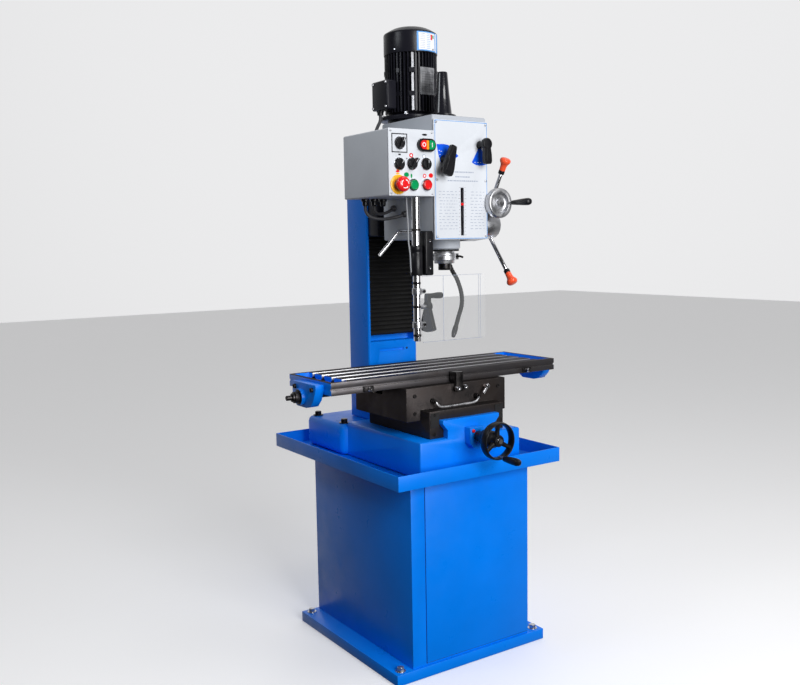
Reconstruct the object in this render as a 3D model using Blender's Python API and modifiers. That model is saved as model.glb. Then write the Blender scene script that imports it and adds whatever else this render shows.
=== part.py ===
"""A gear-head milling and drilling machine on a sheet-metal stand.

Metres, +Z up. The origin is on the floor under the middle of the floor plate, the operator
stands at -Y, and X = 0 is the centre plane of the column, head and spindle.
"""

import math

import bmesh
import bpy
from mathutils import Matrix, Vector

# ---- driving dimensions -------------------------------------------------------------------
GAP = 0.0003  # clearance between touching pieces

PLATE_HALF_X, PLATE_HALF_Y, PLATE_TOP = 0.268, 0.2785, 0.032
CABINET_HALF_X, CABINET_FRONT, CABINET_BACK, CABINET_TOP = 0.211, -0.272, 0.268, 0.560
SHEET = 0.003
TRAY_HALF_X, TRAY_FRONT, TRAY_BACK, TRAY_TOP = 0.287, -0.328, 0.387, 0.602
TRAY_FLOOR = CABINET_TOP + GAP + SHEET

BASE_HALF_X, BASE_FRONT, BASE_TOP = 0.179, -0.275, 0.668
FOOT_HALF_X, FOOT_FRONT, FOOT_BACK, FOOT_TOP = 0.199, 0.110, 0.340, 0.660
WAY_HALF_X, WAY_TOP = 0.100, 0.720

COLUMN_HALF_X, COLUMN_FRONT, COLUMN_BACK, COLUMN_TOP = 0.090, 0.121, 0.236, 1.520
CHANNEL_HALF_X, CHANNEL_FLOOR, CHANNEL_BOTTOM = 0.082, 0.160, 0.905
RAIL_OUT, RAIL_IN, RAIL_FACE, RAIL_BOTTOM = 0.055, 0.018, 0.143, 1.035
Z_SCREW_Y, SLIDE_TOP = 0.153, 1.470
CRANK_Z, CRANK_X = 1.003, 0.158

Y_SCREW_Z, Y_WHEEL_Y = 0.670, -0.388
SADDLE_HALF_X, SADDLE_FRONT, SADDLE_BACK = 0.178, -0.210, 0.060
SADDLE_BOTTOM, SADDLE_TOP = 0.714, 0.8087
APRON_HALF_X, APRON_FRONT, APRON_BOTTOM, APRON_TOP = 0.132, -0.255, 0.6685, 0.745

TABLE_HALF_X, TABLE_FRONT, TABLE_BACK = 0.400, -0.184, 0.056
TABLE_BOTTOM, TABLE_TOP = 0.809, 0.844
TABLE_MID_Y = (TABLE_FRONT + TABLE_BACK) / 2
SLOT_PITCH, SLOT_WIDTH, SLOT_COUNT = 0.055, 0.014, 4
X_SCREW_Z = 0.796
TROUGH_IN, TROUGH_OUT = 0.342, 0.390

HEAD_HALF_X, HEAD_FRONT, HEAD_BACK = 0.093, -0.232, 0.020
HEAD_BOTTOM, HEAD_TOP, WALL = 1.217, 1.556, 0.012
PLATE_FRONT = -0.239
SPINDLE_Y, QUILL_R, SPINDLE_R = -0.155, 0.029, 0.018
MOTOR_R = 0.0775
SWIVEL_Z = 1.370
PINION_Y, PINION_Z = -0.106, 1.260
WORM_X, WORM_Z = 0.123, 1.318
CASE_RIGHT = 0.150

BOX_LEFT, BOX_RIGHT, BOX_FRONT, BOX_BACK = -0.241, -0.0935, -0.236, -0.006
BOX_BOTTOM, BOX_TOP = 1.335, 1.511
PANEL_FRONT = -0.239

POLE_X, POLE_Y, POLE_R = -0.140, -0.215, 0.009

# ---- collections, materials and small helpers ---------------------------------------------


def start_scene():
    """An empty file with one collection for the machine and one for its cutters."""
    for item in list(bpy.data.objects):
        bpy.data.objects.remove(item, do_unlink=True)
    made = []
    for name in ("milling_machine", "cutters"):
        group = bpy.data.collections.new(name)
        bpy.context.scene.collection.children.link(group)
        made.append(group)
    return made


PARTS, CUTTERS = start_scene()


def paint(name, colour, roughness, metallic=0.0):
    """A Principled material of one colour."""
    material = bpy.data.materials.new(name)
    material.use_nodes = True
    shader = material.node_tree.nodes["Principled BSDF"]
    shader.inputs["Base Color"].default_value = (*colour, 1.0)
    shader.inputs["Roughness"].default_value = roughness
    shader.inputs["Metallic"].default_value = metallic
    return material


BLUE = paint("blue_paint", (0.0, 0.16, 0.80), 0.35)
GREY = paint("grey_paint", (0.55, 0.58, 0.63), 0.40)
WHITE = paint("white_panel", (0.82, 0.85, 0.90), 0.30)
BLACK = paint("black_plastic", (0.012, 0.012, 0.015), 0.45)
MOTOR_BLACK = paint("black_motor_paint", (0.010, 0.010, 0.014), 0.35)
RUBBER = paint("black_rubber", (0.010, 0.010, 0.010), 0.75)
IRON = paint("ground_cast_iron", (0.16, 0.15, 0.16), 0.35, 0.9)
STEEL = paint("bright_steel", (0.62, 0.62, 0.65), 0.22, 1.0)
CHROME = paint("chrome", (0.80, 0.80, 0.84), 0.10, 1.0)
ORANGE = paint("orange_knob", (0.90, 0.10, 0.01), 0.35)
RED = paint("red_plastic", (0.75, 0.01, 0.01), 0.30)
GREEN = paint("green_plastic", (0.0, 0.35, 0.08), 0.30)
CLEAR = paint("clear_sheet", (0.92, 0.95, 0.97), 0.05)


def add_mesh(name, bm, material, location=(0, 0, 0)):
    """The bmesh as a named object of the machine, shaded smooth with sharp corners kept."""
    bmesh.ops.recalc_face_normals(bm, faces=bm.faces[:])
    mesh = bpy.data.meshes.new(name)
    bm.to_mesh(mesh)
    bm.free()
    mesh.shade_smooth()
    mesh.set_sharp_from_angle(angle=math.radians(35))
    made = bpy.data.objects.new(name, mesh)
    made.location = location
    if material:
        mesh.materials.append(material)
    PARTS.objects.link(made)
    return made


def block(name, low, high, material=None, round_by=0.0, steps=2):
    """A box between two corners, its edges rounded by a Bevel modifier."""
    low, high = Vector(low), Vector(high)
    bm = bmesh.new()
    bmesh.ops.create_cube(bm, size=1.0, matrix=Matrix.Diagonal((*(high - low), 1.0)))
    made = add_mesh(name, bm, material, (low + high) / 2)
    if round_by:
        bevel = made.modifiers.new("rounded_edges", "BEVEL")
        bevel.width = round_by
        bevel.segments = steps
    return made


def turn_axis(made, axis):
    """Turns an object whose length is along +Z to lie along the named axis."""
    turns = {"Z": (0, 0, 0), "X": (0, math.pi / 2, 0), "Y": (-math.pi / 2, 0, 0)}
    made.rotation_euler = turns[axis]
    return made


def cylinder(name, centre, radius, length, axis="Z", material=None, sides=16, tip=None):
    """A cylinder, or a cone when tip gives the radius at its far end, about its own middle."""
    bm = bmesh.new()
    far = radius if tip is None else tip
    bmesh.ops.create_cone(
        bm, cap_ends=True, segments=sides, radius1=radius, radius2=far, depth=length
    )
    return turn_axis(add_mesh(name, bm, material, centre), axis)


def turned(name, profile, centre, axis="Z", material=None, sides=24):
    """A profile of (radius, height) pairs, top to bottom down its outer side, turned round."""
    bm = bmesh.new()
    points = [bm.verts.new((radius, 0.0, height)) for radius, height in profile]
    for first, second in zip(points, points[1:]):
        bm.edges.new((first, second))
    if profile[0][0] > 0:
        bm.edges.new((points[-1], points[0]))
    mesh = bpy.data.meshes.new(name)
    bm.to_mesh(mesh)
    bm.free()
    made = bpy.data.objects.new(name, mesh)
    made.location = centre
    if material:
        mesh.materials.append(material)
    PARTS.objects.link(made)
    screw = made.modifiers.new("turned", "SCREW")
    screw.steps = screw.render_steps = sides
    screw.use_merge_vertices = True
    screw.merge_threshold = 0.00001
    screw.use_smooth_shade = True
    return turn_axis(made, axis)


def real_mesh(curve_object):
    """A curve object made a mesh, with its caps welded to its sides."""
    bpy.context.view_layer.update()
    graph = bpy.context.evaluated_depsgraph_get()
    mesh = bpy.data.meshes.new_from_object(curve_object.evaluated_get(graph))
    bm = bmesh.new()
    bm.from_mesh(mesh)
    bmesh.ops.remove_doubles(bm, verts=bm.verts[:], dist=0.000001)
    bm.to_mesh(mesh)
    bm.free()
    name = curve_object.name
    made = bpy.data.objects.new(name + "_mesh", mesh)
    made.matrix_world = curve_object.matrix_world.copy()
    PARTS.objects.link(made)
    bpy.data.objects.remove(curve_object, do_unlink=True)
    made.name = name
    return made


def outline(name, points, thickness, centre=(0, 0, 0), axis="Z", material=None):
    """A flat closed outline, extruded evenly to both sides of its own plane.

    Across the axis the outline's two directions are X and Y for Z, Y and Z for X, X and Z for Y.
    """
    curve = bpy.data.curves.new(name, "CURVE")
    curve.dimensions = "2D"
    curve.fill_mode = "BOTH"
    curve.extrude = thickness / 2
    spline = curve.splines.new("POLY")
    spline.points.add(len(points) - 1)
    spline.use_cyclic_u = True
    for point, place in zip(spline.points, points):
        point.co = (place[0], place[1], 0.0, 1.0)
    if material:
        curve.materials.append(material)
    made = bpy.data.objects.new(name, curve)
    PARTS.objects.link(made)
    planes = {
        "Z": Matrix.Identity(4),
        "X": Matrix(((0, 0, 1, 0), (1, 0, 0, 0), (0, 1, 0, 0), (0, 0, 0, 1))),
        "Y": Matrix(((1, 0, 0, 0), (0, 0, -1, 0), (0, 1, 0, 0), (0, 0, 0, 1))),
    }
    made.matrix_world = Matrix.Translation(centre) @ planes[axis]
    return real_mesh(made)


def tube(name, points, radius, material=None, resolution=1):
    """A round bar along the points."""
    curve = bpy.data.curves.new(name, "CURVE")
    curve.dimensions = "3D"
    curve.bevel_depth = radius
    curve.bevel_resolution = resolution
    curve.use_fill_caps = True
    spline = curve.splines.new("POLY")
    spline.points.add(len(points) - 1)
    for point, place in zip(spline.points, points):
        point.co = (*place, 1.0)
    if material:
        curve.materials.append(material)
    made = bpy.data.objects.new(name, curve)
    PARTS.objects.link(made)
    return real_mesh(made)


def smooth_route(points, steps):
    """Points along a Catmull-Rom curve through the given ones."""
    ends = [2 * Vector(points[0]) - Vector(points[1])]
    ends += [Vector(p) for p in points]
    ends += [2 * Vector(points[-1]) - Vector(points[-2])]
    made = []
    for a, b, c, d in zip(ends, ends[1:], ends[2:], ends[3:]):
        for step in range(steps):
            t = step / steps
            made.append(
                0.5 * (2 * b + (c - a) * t + (2 * a - 5 * b + 4 * c - d) * t**2
                       + (3 * b - a - 3 * c + d) * t**3)
            )
    return made + [ends[-2]]


def put_aside(helper):
    """Keeps a cutter or a joined shape out of the finished machine."""
    PARTS.objects.unlink(helper)
    CUTTERS.objects.link(helper)
    helper.hide_render = True
    helper.display_type = "WIRE"
    return helper


def combine(target, operation, helpers):
    """Adds one Boolean modifier to the target for each helper."""
    for helper in helpers:
        boolean = target.modifiers.new(helper.name, "BOOLEAN")
        boolean.operation = operation
        boolean.solver = "EXACT"
        boolean.object = put_aside(helper)
    return target


def cut(target, *helpers):
    """Takes the helpers away from the target."""
    return combine(target, "DIFFERENCE", helpers)


def join(target, *helpers):
    """Adds the helpers to the target."""
    return combine(target, "UNION", helpers)


def arc(centre, radius, start, end, steps):
    """Points of a circular arc, the angles in degrees from the first direction."""
    made = []
    for step in range(steps + 1):
        angle = math.radians(start + (end - start) * step / steps)
        made.append(
            (centre[0] + radius * math.cos(angle), centre[1] + radius * math.sin(angle))
        )
    return made


def about(pivot, *pieces):
    """Parents pieces to an empty on their joint's axis, without moving them."""
    empty = bpy.data.objects.new(pieces[0].name + "_axis", None)
    PARTS.objects.link(empty)
    empty.location = pivot
    bpy.context.view_layer.update()
    for piece in pieces:
        piece.parent = empty
        piece.matrix_parent_inverse = empty.matrix_world.inverted()


# ---- stand ---------------------------------------------------------------------------------


def make_stand():
    """The base plate, the sheet-metal cabinet with its front panel, and the chip tray."""
    block(
        "base_plate",
        (-PLATE_HALF_X, -PLATE_HALF_Y, 0),
        (PLATE_HALF_X, PLATE_HALF_Y, PLATE_TOP),
        BLUE,
    )
    cabinet = block(
        "stand_cabinet",
        (-CABINET_HALF_X, CABINET_FRONT, PLATE_TOP + GAP),
        (CABINET_HALF_X, CABINET_BACK, CABINET_TOP),
        BLUE,
    )
    inside = block(
        "cabinet_inside",
        (-CABINET_HALF_X + SHEET, CABINET_FRONT + SHEET, PLATE_TOP + 2 * SHEET),
        (CABINET_HALF_X - SHEET, CABINET_BACK - SHEET, CABINET_TOP + SHEET),
    )
    doorway = block(
        "doorway", (-0.145, CABINET_FRONT - 0.01, 0.070), (0.186, CABINET_FRONT + 0.01, 0.525)
    )
    cut(cabinet, inside, doorway)
    block(
        "front_panel",
        (-0.165, CABINET_FRONT - GAP - SHEET, 0.040),
        (CABINET_HALF_X - 0.004, CABINET_FRONT - GAP, 0.555),
        BLUE,
    )
    tray = block(
        "chip_tray",
        (-TRAY_HALF_X, TRAY_FRONT, CABINET_TOP + GAP),
        (TRAY_HALF_X, TRAY_BACK, TRAY_TOP),
        BLUE,
    )
    pan = block(
        "tray_inside",
        (-TRAY_HALF_X + SHEET, TRAY_FRONT + SHEET, TRAY_FLOOR),
        (TRAY_HALF_X - SHEET, TRAY_BACK - SHEET, TRAY_TOP + 0.01),
    )
    cut(tray, pan)


# ---- base, column and their screws ---------------------------------------------------------


def make_base():
    """The cast base: the Y ways on a narrower front body, and a wide foot under the column."""
    floor = TRAY_FLOOR + GAP
    body = block(
        "machine_base",
        (-BASE_HALF_X, BASE_FRONT, floor),
        (BASE_HALF_X, FOOT_FRONT + 0.060, BASE_TOP),
        BLUE,
        0.006,
    )
    foot = block(
        "base_foot",
        (-FOOT_HALF_X, FOOT_FRONT, floor + 0.0001),
        (FOOT_HALF_X, FOOT_BACK, FOOT_TOP),
        None,
        0.020,
        3,
    )
    undercut = WAY_HALF_X - 0.016
    ways = [
        (-WAY_HALF_X, WAY_TOP),
        (-WAY_HALF_X, WAY_TOP - 0.010),
        (-undercut, WAY_TOP - 0.028),
        (-undercut, BASE_TOP - 0.020),
        (undercut, BASE_TOP - 0.020),
        (undercut, WAY_TOP - 0.028),
        (WAY_HALF_X, WAY_TOP - 0.010),
        (WAY_HALF_X, WAY_TOP),
    ]
    y_ways = outline("y_ways", ways, 0.360, (0, BASE_FRONT + 0.001 + 0.180, 0), "Y")
    trough = block("screw_trough", (-0.030, BASE_FRONT + 0.020, 0.640), (0.030, 0.20, 0.78))
    seat = block("column_seat", (-0.3, COLUMN_FRONT - 0.012, FOOT_TOP - 0.001), (0.3, 0.40, 0.80))
    bearing = block("y_bearing", (-0.025, -0.300, 0.645), (0.025, BASE_FRONT + 0.03, 0.695), None, 0.004)
    bearing_foot = cylinder("y_bearing_foot", (0, -0.280, 0.654), 0.022, 0.040, "Y", sides=32)
    bore = cylinder("y_bearing_bore", (0, -0.27, Y_SCREW_Z), 0.0085, 0.20, "Y", sides=24)
    pockets = [
        block("front_pocket", (-0.160, BASE_FRONT + 0.018, 0.5), (0.160, FOOT_FRONT - 0.030, 0.622)),
        block("rear_pocket", (-0.180, FOOT_FRONT + 0.010, 0.5), (0.180, FOOT_BACK - 0.020, 0.622)),
    ]
    cut(join(body, foot, y_ways), trough, seat, *pockets)
    cut(join(body, bearing, bearing_foot), bore)


def make_column():
    """The hollow column with its front channel and ways, and its cap."""
    bottom = FOOT_TOP + GAP
    column = block(
        "column",
        (-COLUMN_HALF_X, COLUMN_FRONT, bottom),
        (COLUMN_HALF_X, COLUMN_BACK, COLUMN_TOP),
        BLUE,
        0.003,
        1,
    )
    channel = block(
        "column_channel",
        (-CHANNEL_HALF_X, COLUMN_FRONT - 0.02, CHANNEL_BOTTOM),
        (CHANNEL_HALF_X, CHANNEL_FLOOR, COLUMN_TOP + 0.01),
    )
    hollow = block(
        "column_hollow", (-0.078, 0.180, bottom - 0.01), (0.078, 0.226, COLUMN_TOP + 0.01)
    )
    screw_groove = block("screw_groove", (-0.0165, 0.14, 0.950), (0.0165, 0.170, COLUMN_TOP + 0.01))
    gear_pocket = block("gear_pocket", (-0.020, 0.14, 0.950), (0.035, 0.172, RAIL_BOTTOM - 0.001))
    window = block(
        "column_slit", (-0.050, COLUMN_FRONT - 0.01, 0.873), (0.040, COLUMN_FRONT + 0.006, 0.882)
    )
    shaft_hole = cylinder(
        "crank_shaft_hole", (0.074, Z_SCREW_Y - 0.002, CRANK_Z), 0.0090, 0.09, "X"
    )
    cut(column, channel)
    for side in (-1, 1):
        rail = [
            (side * RAIL_IN, RAIL_FACE),
            (side * RAIL_IN, CHANNEL_FLOOR + 0.005),
            (side * (RAIL_OUT - 0.010), CHANNEL_FLOOR + 0.005),
            (side * (RAIL_OUT - 0.010), CHANNEL_FLOOR),
            (side * RAIL_OUT, RAIL_FACE),
        ]
        height = COLUMN_TOP - RAIL_BOTTOM - 0.001
        z = RAIL_BOTTOM + height / 2
        join(column, outline("z_rail" + "LR"[side > 0], rail, height, (0, 0, z)))
    cut(column, hollow, screw_groove, gear_pocket, window, shaft_hole)
    cap = block(
        "column_cap",
        (-COLUMN_HALF_X, COLUMN_FRONT, COLUMN_TOP + GAP),
        (COLUMN_HALF_X, COLUMN_BACK, COLUMN_TOP + 0.014),
        BLUE,
        0.003,
        1,
    )
    cut(cap, cylinder("cap_bore", (0, Z_SCREW_Y, COLUMN_TOP), 0.0075, 0.1, "Z"))


def make_z_screw():
    """The head's lifting screw, with the bevel gear that the crank turns."""
    screw = turned(
        "z_screw",
        [
            (0, COLUMN_TOP + 0.010),
            (0.0070, COLUMN_TOP + 0.010),
            (0.0070, COLUMN_TOP - 0.010),
            (0.0110, COLUMN_TOP - 0.012),
            (0.0110, 1.0310),
            (0.0150, 1.0300),
            (0.0150, 1.0250),
            (0.0110, 1.0200),
            (0.0070, 1.0195),
            (0.0070, 0.960),
            (0, 0.960),
        ],
        (0, Z_SCREW_Y, 0),
        "Z",
        STEEL,
        16,
    )
    about((0, Z_SCREW_Y, 0), screw)


def make_bellows():
    """The pleated cover over the column ways, from under the head slide down to the channel."""
    top, bottom, pleats = 1.2295, 0.9250, 26
    front, back, thick = 0.1225, 0.1305, 0.004
    pitch = (top - bottom) / pleats
    face = []
    for pleat in range(pleats):
        face.append((back, bottom + pleat * pitch))
        face.append((front, bottom + (pleat + 0.5) * pitch))
    face.append((back, top))
    rear = [(y + thick, z) for y, z in reversed(face)]
    half = CHANNEL_HALF_X - 0.0005
    outline("bellows", face + rear, 2 * half, (0, 0, 0), "X", RUBBER)


def make_crank():
    """The crank that lifts the head, on a bracket at the right of the column."""
    bracket = turned(
        "crank_bracket",
        [
            (0.0080, COLUMN_HALF_X + 0.024),
            (0.0160, COLUMN_HALF_X + 0.024),
            (0.0180, COLUMN_HALF_X + 0.010),
            (0.0340, COLUMN_HALF_X + 0.008),
            (0.0340, COLUMN_HALF_X + GAP),
            (0.0080, COLUMN_HALF_X + GAP),
        ],
        (0, Z_SCREW_Y - 0.002, CRANK_Z),
        "X",
        BLUE,
        24,
    )
    axis = Vector((0, Z_SCREW_Y - 0.002, CRANK_Z))
    weight = [(-0.012, -0.006)]
    weight += arc((0, 0), 0.084, 242, 298, 8)
    weight += [(0.012, -0.006)] + arc((0, 0), 0.016, 0, 180, 8)
    fan = outline("crank_weight", weight, 0.014, axis + Vector((CRANK_X, 0, 0)), "X")
    arm = [(-0.009, 0.0), (-0.0085, 0.034), *arc((0, 0.034), 0.0085, 180, 0, 6), (0.009, 0.0)]
    crank = outline("lift_crank", arm, 0.016, axis + Vector((CRANK_X, 0, 0)), "X", BLACK)
    grip = cylinder("crank_grip", axis + Vector((CRANK_X + 0.028, 0, 0.034)), 0.0080, 0.060, "X")
    grip_end = cylinder(
        "crank_grip_end", axis + Vector((CRANK_X + 0.046, 0, 0.034)), 0.0105, 0.032, "X"
    )
    shaft = cylinder("crank_shaft", axis + Vector((0.092, 0, 0)), 0.0075, 0.132, "X", sides=24)
    bevel_gear = cylinder("crank_gear", axis + Vector((0.0245, 0, 0)), 0.0110, 0.012, "X", tip=0.0150)
    join(crank, fan, grip, grip_end, shaft, bevel_gear)
    about(axis, crank)


def make_y_feed():
    """The saddle's screw and the handwheel in front of it."""
    screw = turned(
        "y_screw",
        [
            (0, 0.500),
            (0.0090, 0.500),
            (0.0090, 0.152),
            (0.0078, 0.150),
            (0.0078, -0.009),
            (0, -0.009),
        ],
        (0, Y_WHEEL_Y, Y_SCREW_Z),
        "Y",
        STEEL,
        16,
    )
    wheel = make_y_handwheel()
    about((0, Y_WHEEL_Y, Y_SCREW_Z), screw, wheel)


def make_y_handwheel():
    """The saddle's handwheel: a rim, a long hub, three spokes and a grip."""
    wheel = turned(
        "y_handwheel",
        [
            (0.0455, 0.0120),
            (0.0500, 0.0130),
            (0.0530, 0.0090),
            (0.0530, -0.0090),
            (0.0500, -0.0130),
            (0.0455, -0.0120),
            (0.0430, -0.0060),
            (0.0430, 0.0060),
        ],
        (0, Y_WHEEL_Y, Y_SCREW_Z),
        "Y",
        BLACK,
        24,
    )
    hub = turned(
        "wheel_hub",
        [
            (0.0081, 0.085),
            (0.0150, 0.085),
            (0.0150, 0.060),
            (0.0240, 0.055),
            (0.0240, 0.018),
            (0.0180, 0.012),
            (0.0160, -0.008),
            (0.0081, -0.008),
        ],
        (0, Y_WHEEL_Y, Y_SCREW_Z),
        "Y",
        None,
        16,
    )
    pieces = [hub]
    for spoke in range(3):
        angle = math.radians(90 + 120 * spoke)
        middle = Vector((math.cos(angle), 0, math.sin(angle))) * 0.0305
        bar = block(f"wheel_spoke_{spoke}", (-0.0160, -0.0040, -0.0080), (0.0160, 0.0040, 0.0080))
        bar.location = Vector((0, Y_WHEEL_Y, Y_SCREW_Z)) + middle
        bar.rotation_euler = (0, -angle, 0)
        pieces.append(bar)
    grip = turned(
        "wheel_grip",
        [
            (0, 0.004),
            (0.0060, 0.004),
            (0.0060, -0.016),
            (0.0090, -0.020),
            (0.0105, -0.062),
            (0.0085, -0.080),
            (0, -0.083),
        ],
        (0.008, Y_WHEEL_Y, Y_SCREW_Z - 0.0475),
        "Y",
        None,
        12,
    )
    return join(wheel, *pieces, grip)


# ---- saddle and table ----------------------------------------------------------------------


def make_saddle():
    """The saddle: the cross ways above, and a narrower apron over the base's ways."""
    saddle = block(
        "saddle",
        (-SADDLE_HALF_X, SADDLE_FRONT, SADDLE_BOTTOM),
        (SADDLE_HALF_X, SADDLE_BACK, SADDLE_TOP),
        IRON,
        0.0015,
        1,
    )
    apron = block(
        "saddle_apron",
        (-APRON_HALF_X, APRON_FRONT, APRON_BOTTOM),
        (APRON_HALF_X, SADDLE_BACK - 0.001, APRON_TOP),
        None,
        0.0015,
        1,
    )
    clear = 0.0006
    undercut = WAY_HALF_X - 0.016
    slide_way = [
        (-undercut + 0.020, 0.6),
        (-undercut - clear, 0.6),
        (-undercut - clear, WAY_TOP - 0.028 - clear),
        (-WAY_HALF_X - clear, WAY_TOP - 0.010 - clear),
        (-WAY_HALF_X - clear, WAY_TOP + 0.0003),
        (WAY_HALF_X + clear, WAY_TOP + 0.0003),
        (WAY_HALF_X + clear, WAY_TOP - 0.010 - clear),
        (undercut + clear, WAY_TOP - 0.028 - clear),
        (undercut + clear, 0.6),
    ]
    groove = outline("saddle_groove", slide_way, 0.7, (0, -0.05, 0), "Y")
    nut = block("y_nut", (-0.020, -0.100, Y_SCREW_Z - 0.018), (0.020, -0.040, WAY_TOP + 0.01))
    nut_bore = cylinder("y_nut_bore", (0, -0.07, Y_SCREW_Z), 0.0093, 0.2, "Y", sides=24)
    screw_channel = block(
        "x_screw_channel", (-0.3, TABLE_MID_Y - 0.024, 0.7780), (0.3, TABLE_MID_Y + 0.024, 0.9)
    )
    x_nut = block(
        "x_nut", (-0.030, TABLE_MID_Y - 0.030, 0.770), (0.030, TABLE_MID_Y + 0.030, X_SCREW_Z)
    )
    x_nut_bore = cylinder("x_nut_bore", (0, TABLE_MID_Y, X_SCREW_Z), 0.0095, 0.2, "X", sides=24)
    cut(join(saddle, apron), groove)
    cut(join(saddle, nut), nut_bore, screw_channel)
    cut(join(saddle, x_nut), x_nut_bore)
    stop = block(
        "stop_block",
        (-0.012, SADDLE_FRONT - GAP - 0.012, 0.786),
        (0.012, SADDLE_FRONT - GAP, 0.842),
        BLACK,
        0.001,
        1,
    )
    stop_head = block(
        "stop_head", (-0.011, SADDLE_FRONT - 0.010, 0.812), (0.011, TABLE_FRONT - 0.0065, 0.841)
    )
    join(stop, stop_head)


def make_lock_lever():
    """The small clamping lever on the saddle's front face, its axis along Y."""
    front = SADDLE_FRONT - GAP
    x, z = 0.100, 0.792
    lever = cylinder("saddle_lock_lever", (x, front - 0.009, z), 0.0070, 0.018, "Y", CHROME, 20)
    arm = tube(
        "saddle_lock_arm",
        [
            (x, front - 0.014, z),
            (x - 0.010, front - 0.016, z - 0.010),
            (x - 0.021, front - 0.020, z - 0.020),
        ],
        0.0048,
    )
    join(lever, arm)
    about((x, front, z), lever)


def make_table():
    """The slotted table, with a coolant trough across each end."""
    table = block(
        "table",
        (-TABLE_HALF_X, TABLE_FRONT, TABLE_BOTTOM),
        (TABLE_HALF_X, TABLE_BACK, TABLE_TOP),
        IRON,
    )
    cutters = []
    for slot in range(SLOT_COUNT):
        y = TABLE_MID_Y + (slot - (SLOT_COUNT - 1) / 2) * SLOT_PITCH
        half, wide = SLOT_WIDTH / 2, SLOT_WIDTH / 2 + 0.005
        tee = [
            (y - half, TABLE_TOP + 0.01),
            (y - half, TABLE_TOP - 0.012),
            (y - wide, TABLE_TOP - 0.012),
            (y - wide, TABLE_TOP - 0.021),
            (y + wide, TABLE_TOP - 0.021),
            (y + wide, TABLE_TOP - 0.012),
            (y + half, TABLE_TOP - 0.012),
            (y + half, TABLE_TOP + 0.01),
        ]
        cutters.append(outline(f"t_slot_{slot}", tee, 2 * TROUGH_IN + 0.01, (0, 0, 0), "X"))
    for side in (-1, 1):
        xs = sorted((side * TROUGH_IN, side * TROUGH_OUT))
        low = (xs[0], TABLE_FRONT + 0.012, TABLE_TOP - 0.024)
        cutters.append(block(f"end_trough_{side + 1}", low, (xs[1], TABLE_BACK - 0.012, 0.9)))
    for side, face in ((-1, TABLE_FRONT), (1, TABLE_BACK)):
        groove = block(
            f"side_groove_{side + 1}", (-0.5, face - 0.004, 0.8235), (0.5, face + 0.004, 0.8295)
        )
        cutters.append(groove)
    cut(table, *cutters)


def make_table_ends():
    """The cast brackets that carry the table's screw, the screw, and the travel stops."""
    for name, side in (("left_end_bracket", -1), ("right_end_bracket", 1)):
        thick = 0.026
        shape = [
            (-0.146, 0.836),
            (-0.146, 0.822),
            (-0.132, 0.792),
            (-0.112, 0.773),
            (-0.090, 0.768),
            (-0.038, 0.768),
            (-0.022, 0.776),
            (-0.012, 0.800),
            (-0.012, 0.836),
        ]
        x = side * (TABLE_HALF_X + GAP + thick / 2)
        bracket = outline(name, shape, thick, (x, 0, 0), "X", BLUE)
        boss_x = side * (TABLE_HALF_X + thick + 0.002)
        boss = cylinder(name + "_boss", (boss_x, TABLE_MID_Y, X_SCREW_Z), 0.023, 0.016, "X", sides=32)
        bore = cylinder(name + "_bore", (boss_x, TABLE_MID_Y, X_SCREW_Z), 0.0096, 0.3, "X", sides=24)
        cut(join(bracket, boss), bore)
    screw = turned(
        "x_screw",
        [
            (0, TABLE_HALF_X + 0.0460),
            (0.0150, TABLE_HALF_X + 0.0455),
            (0.0150, TABLE_HALF_X + 0.0365),
            (0.0092, TABLE_HALF_X + 0.0360),
            (0.0092, -0.4375),
            (0.0160, -0.4378),
            (0.0160, -0.4500),
            (0.0120, -0.4510),
            (0.0120, -0.4560),
            (0.0070, -0.4580),
            (0.0070, -0.4720),
            (0, -0.4720),
        ],
        (0, TABLE_MID_Y, X_SCREW_Z),
        "X",
        STEEL,
        16,
    )
    about((0, TABLE_MID_Y, X_SCREW_Z), screw)
    for name, x in (("left_table_stop", -0.285), ("right_table_stop", 0.285)):
        low = (x - 0.016, TABLE_FRONT - 0.0063, 0.811)
        high = (x + 0.016, TABLE_FRONT - GAP, 0.826)
        middle = (x, TABLE_FRONT - 0.008, 0.8185)
        stop = block(name, low, high, STEEL, 0.001, 1)
        join(stop, cylinder(name + "_screw", middle, 0.005, 0.010, "Y", sides=16))


# ---- head slide and head casting -----------------------------------------------------------


def make_head_slide():
    """The slide on the column ways, which carries the swivelling head."""
    slide = block(
        "head_slide", (-0.084, 0.0623, 1.230), (0.084, COLUMN_FRONT - 0.0005, SLIDE_TOP), GREY, 0.004, 1
    )
    half = CHANNEL_HALF_X - 0.0005
    tongue = block("slide_tongue", (-half, 0.11, 1.230), (half, CHANNEL_FLOOR - 0.0005, SLIDE_TOP))
    clear = 0.0005
    rails = [
        (-RAIL_OUT - clear - 0.0004, RAIL_FACE - clear),
        (RAIL_OUT + clear + 0.0004, RAIL_FACE - clear),
        (RAIL_OUT - 0.010 + clear, CHANNEL_FLOOR + 0.001),
        (-RAIL_OUT + 0.010 - clear, CHANNEL_FLOOR + 0.001),
    ]
    groove = outline("rail_groove", rails, 0.4, (0, 0, 1.355))
    nut = block("nut_lug", (-0.0165, 0.12, 1.245), (0.0165, 0.170, 1.300))
    nut_bore = cylinder("nut_bore", (0, Z_SCREW_Y, 1.35), 0.0113, 0.5, "Z", sides=24)
    lug_trim = block("nut_trim", (-0.03, CHANNEL_FLOOR - 0.0004, 1.2), (0.03, 0.19, 1.32))
    cut(join(slide, tongue), groove)
    cut(join(slide, nut), nut_bore, lug_trim)


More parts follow.
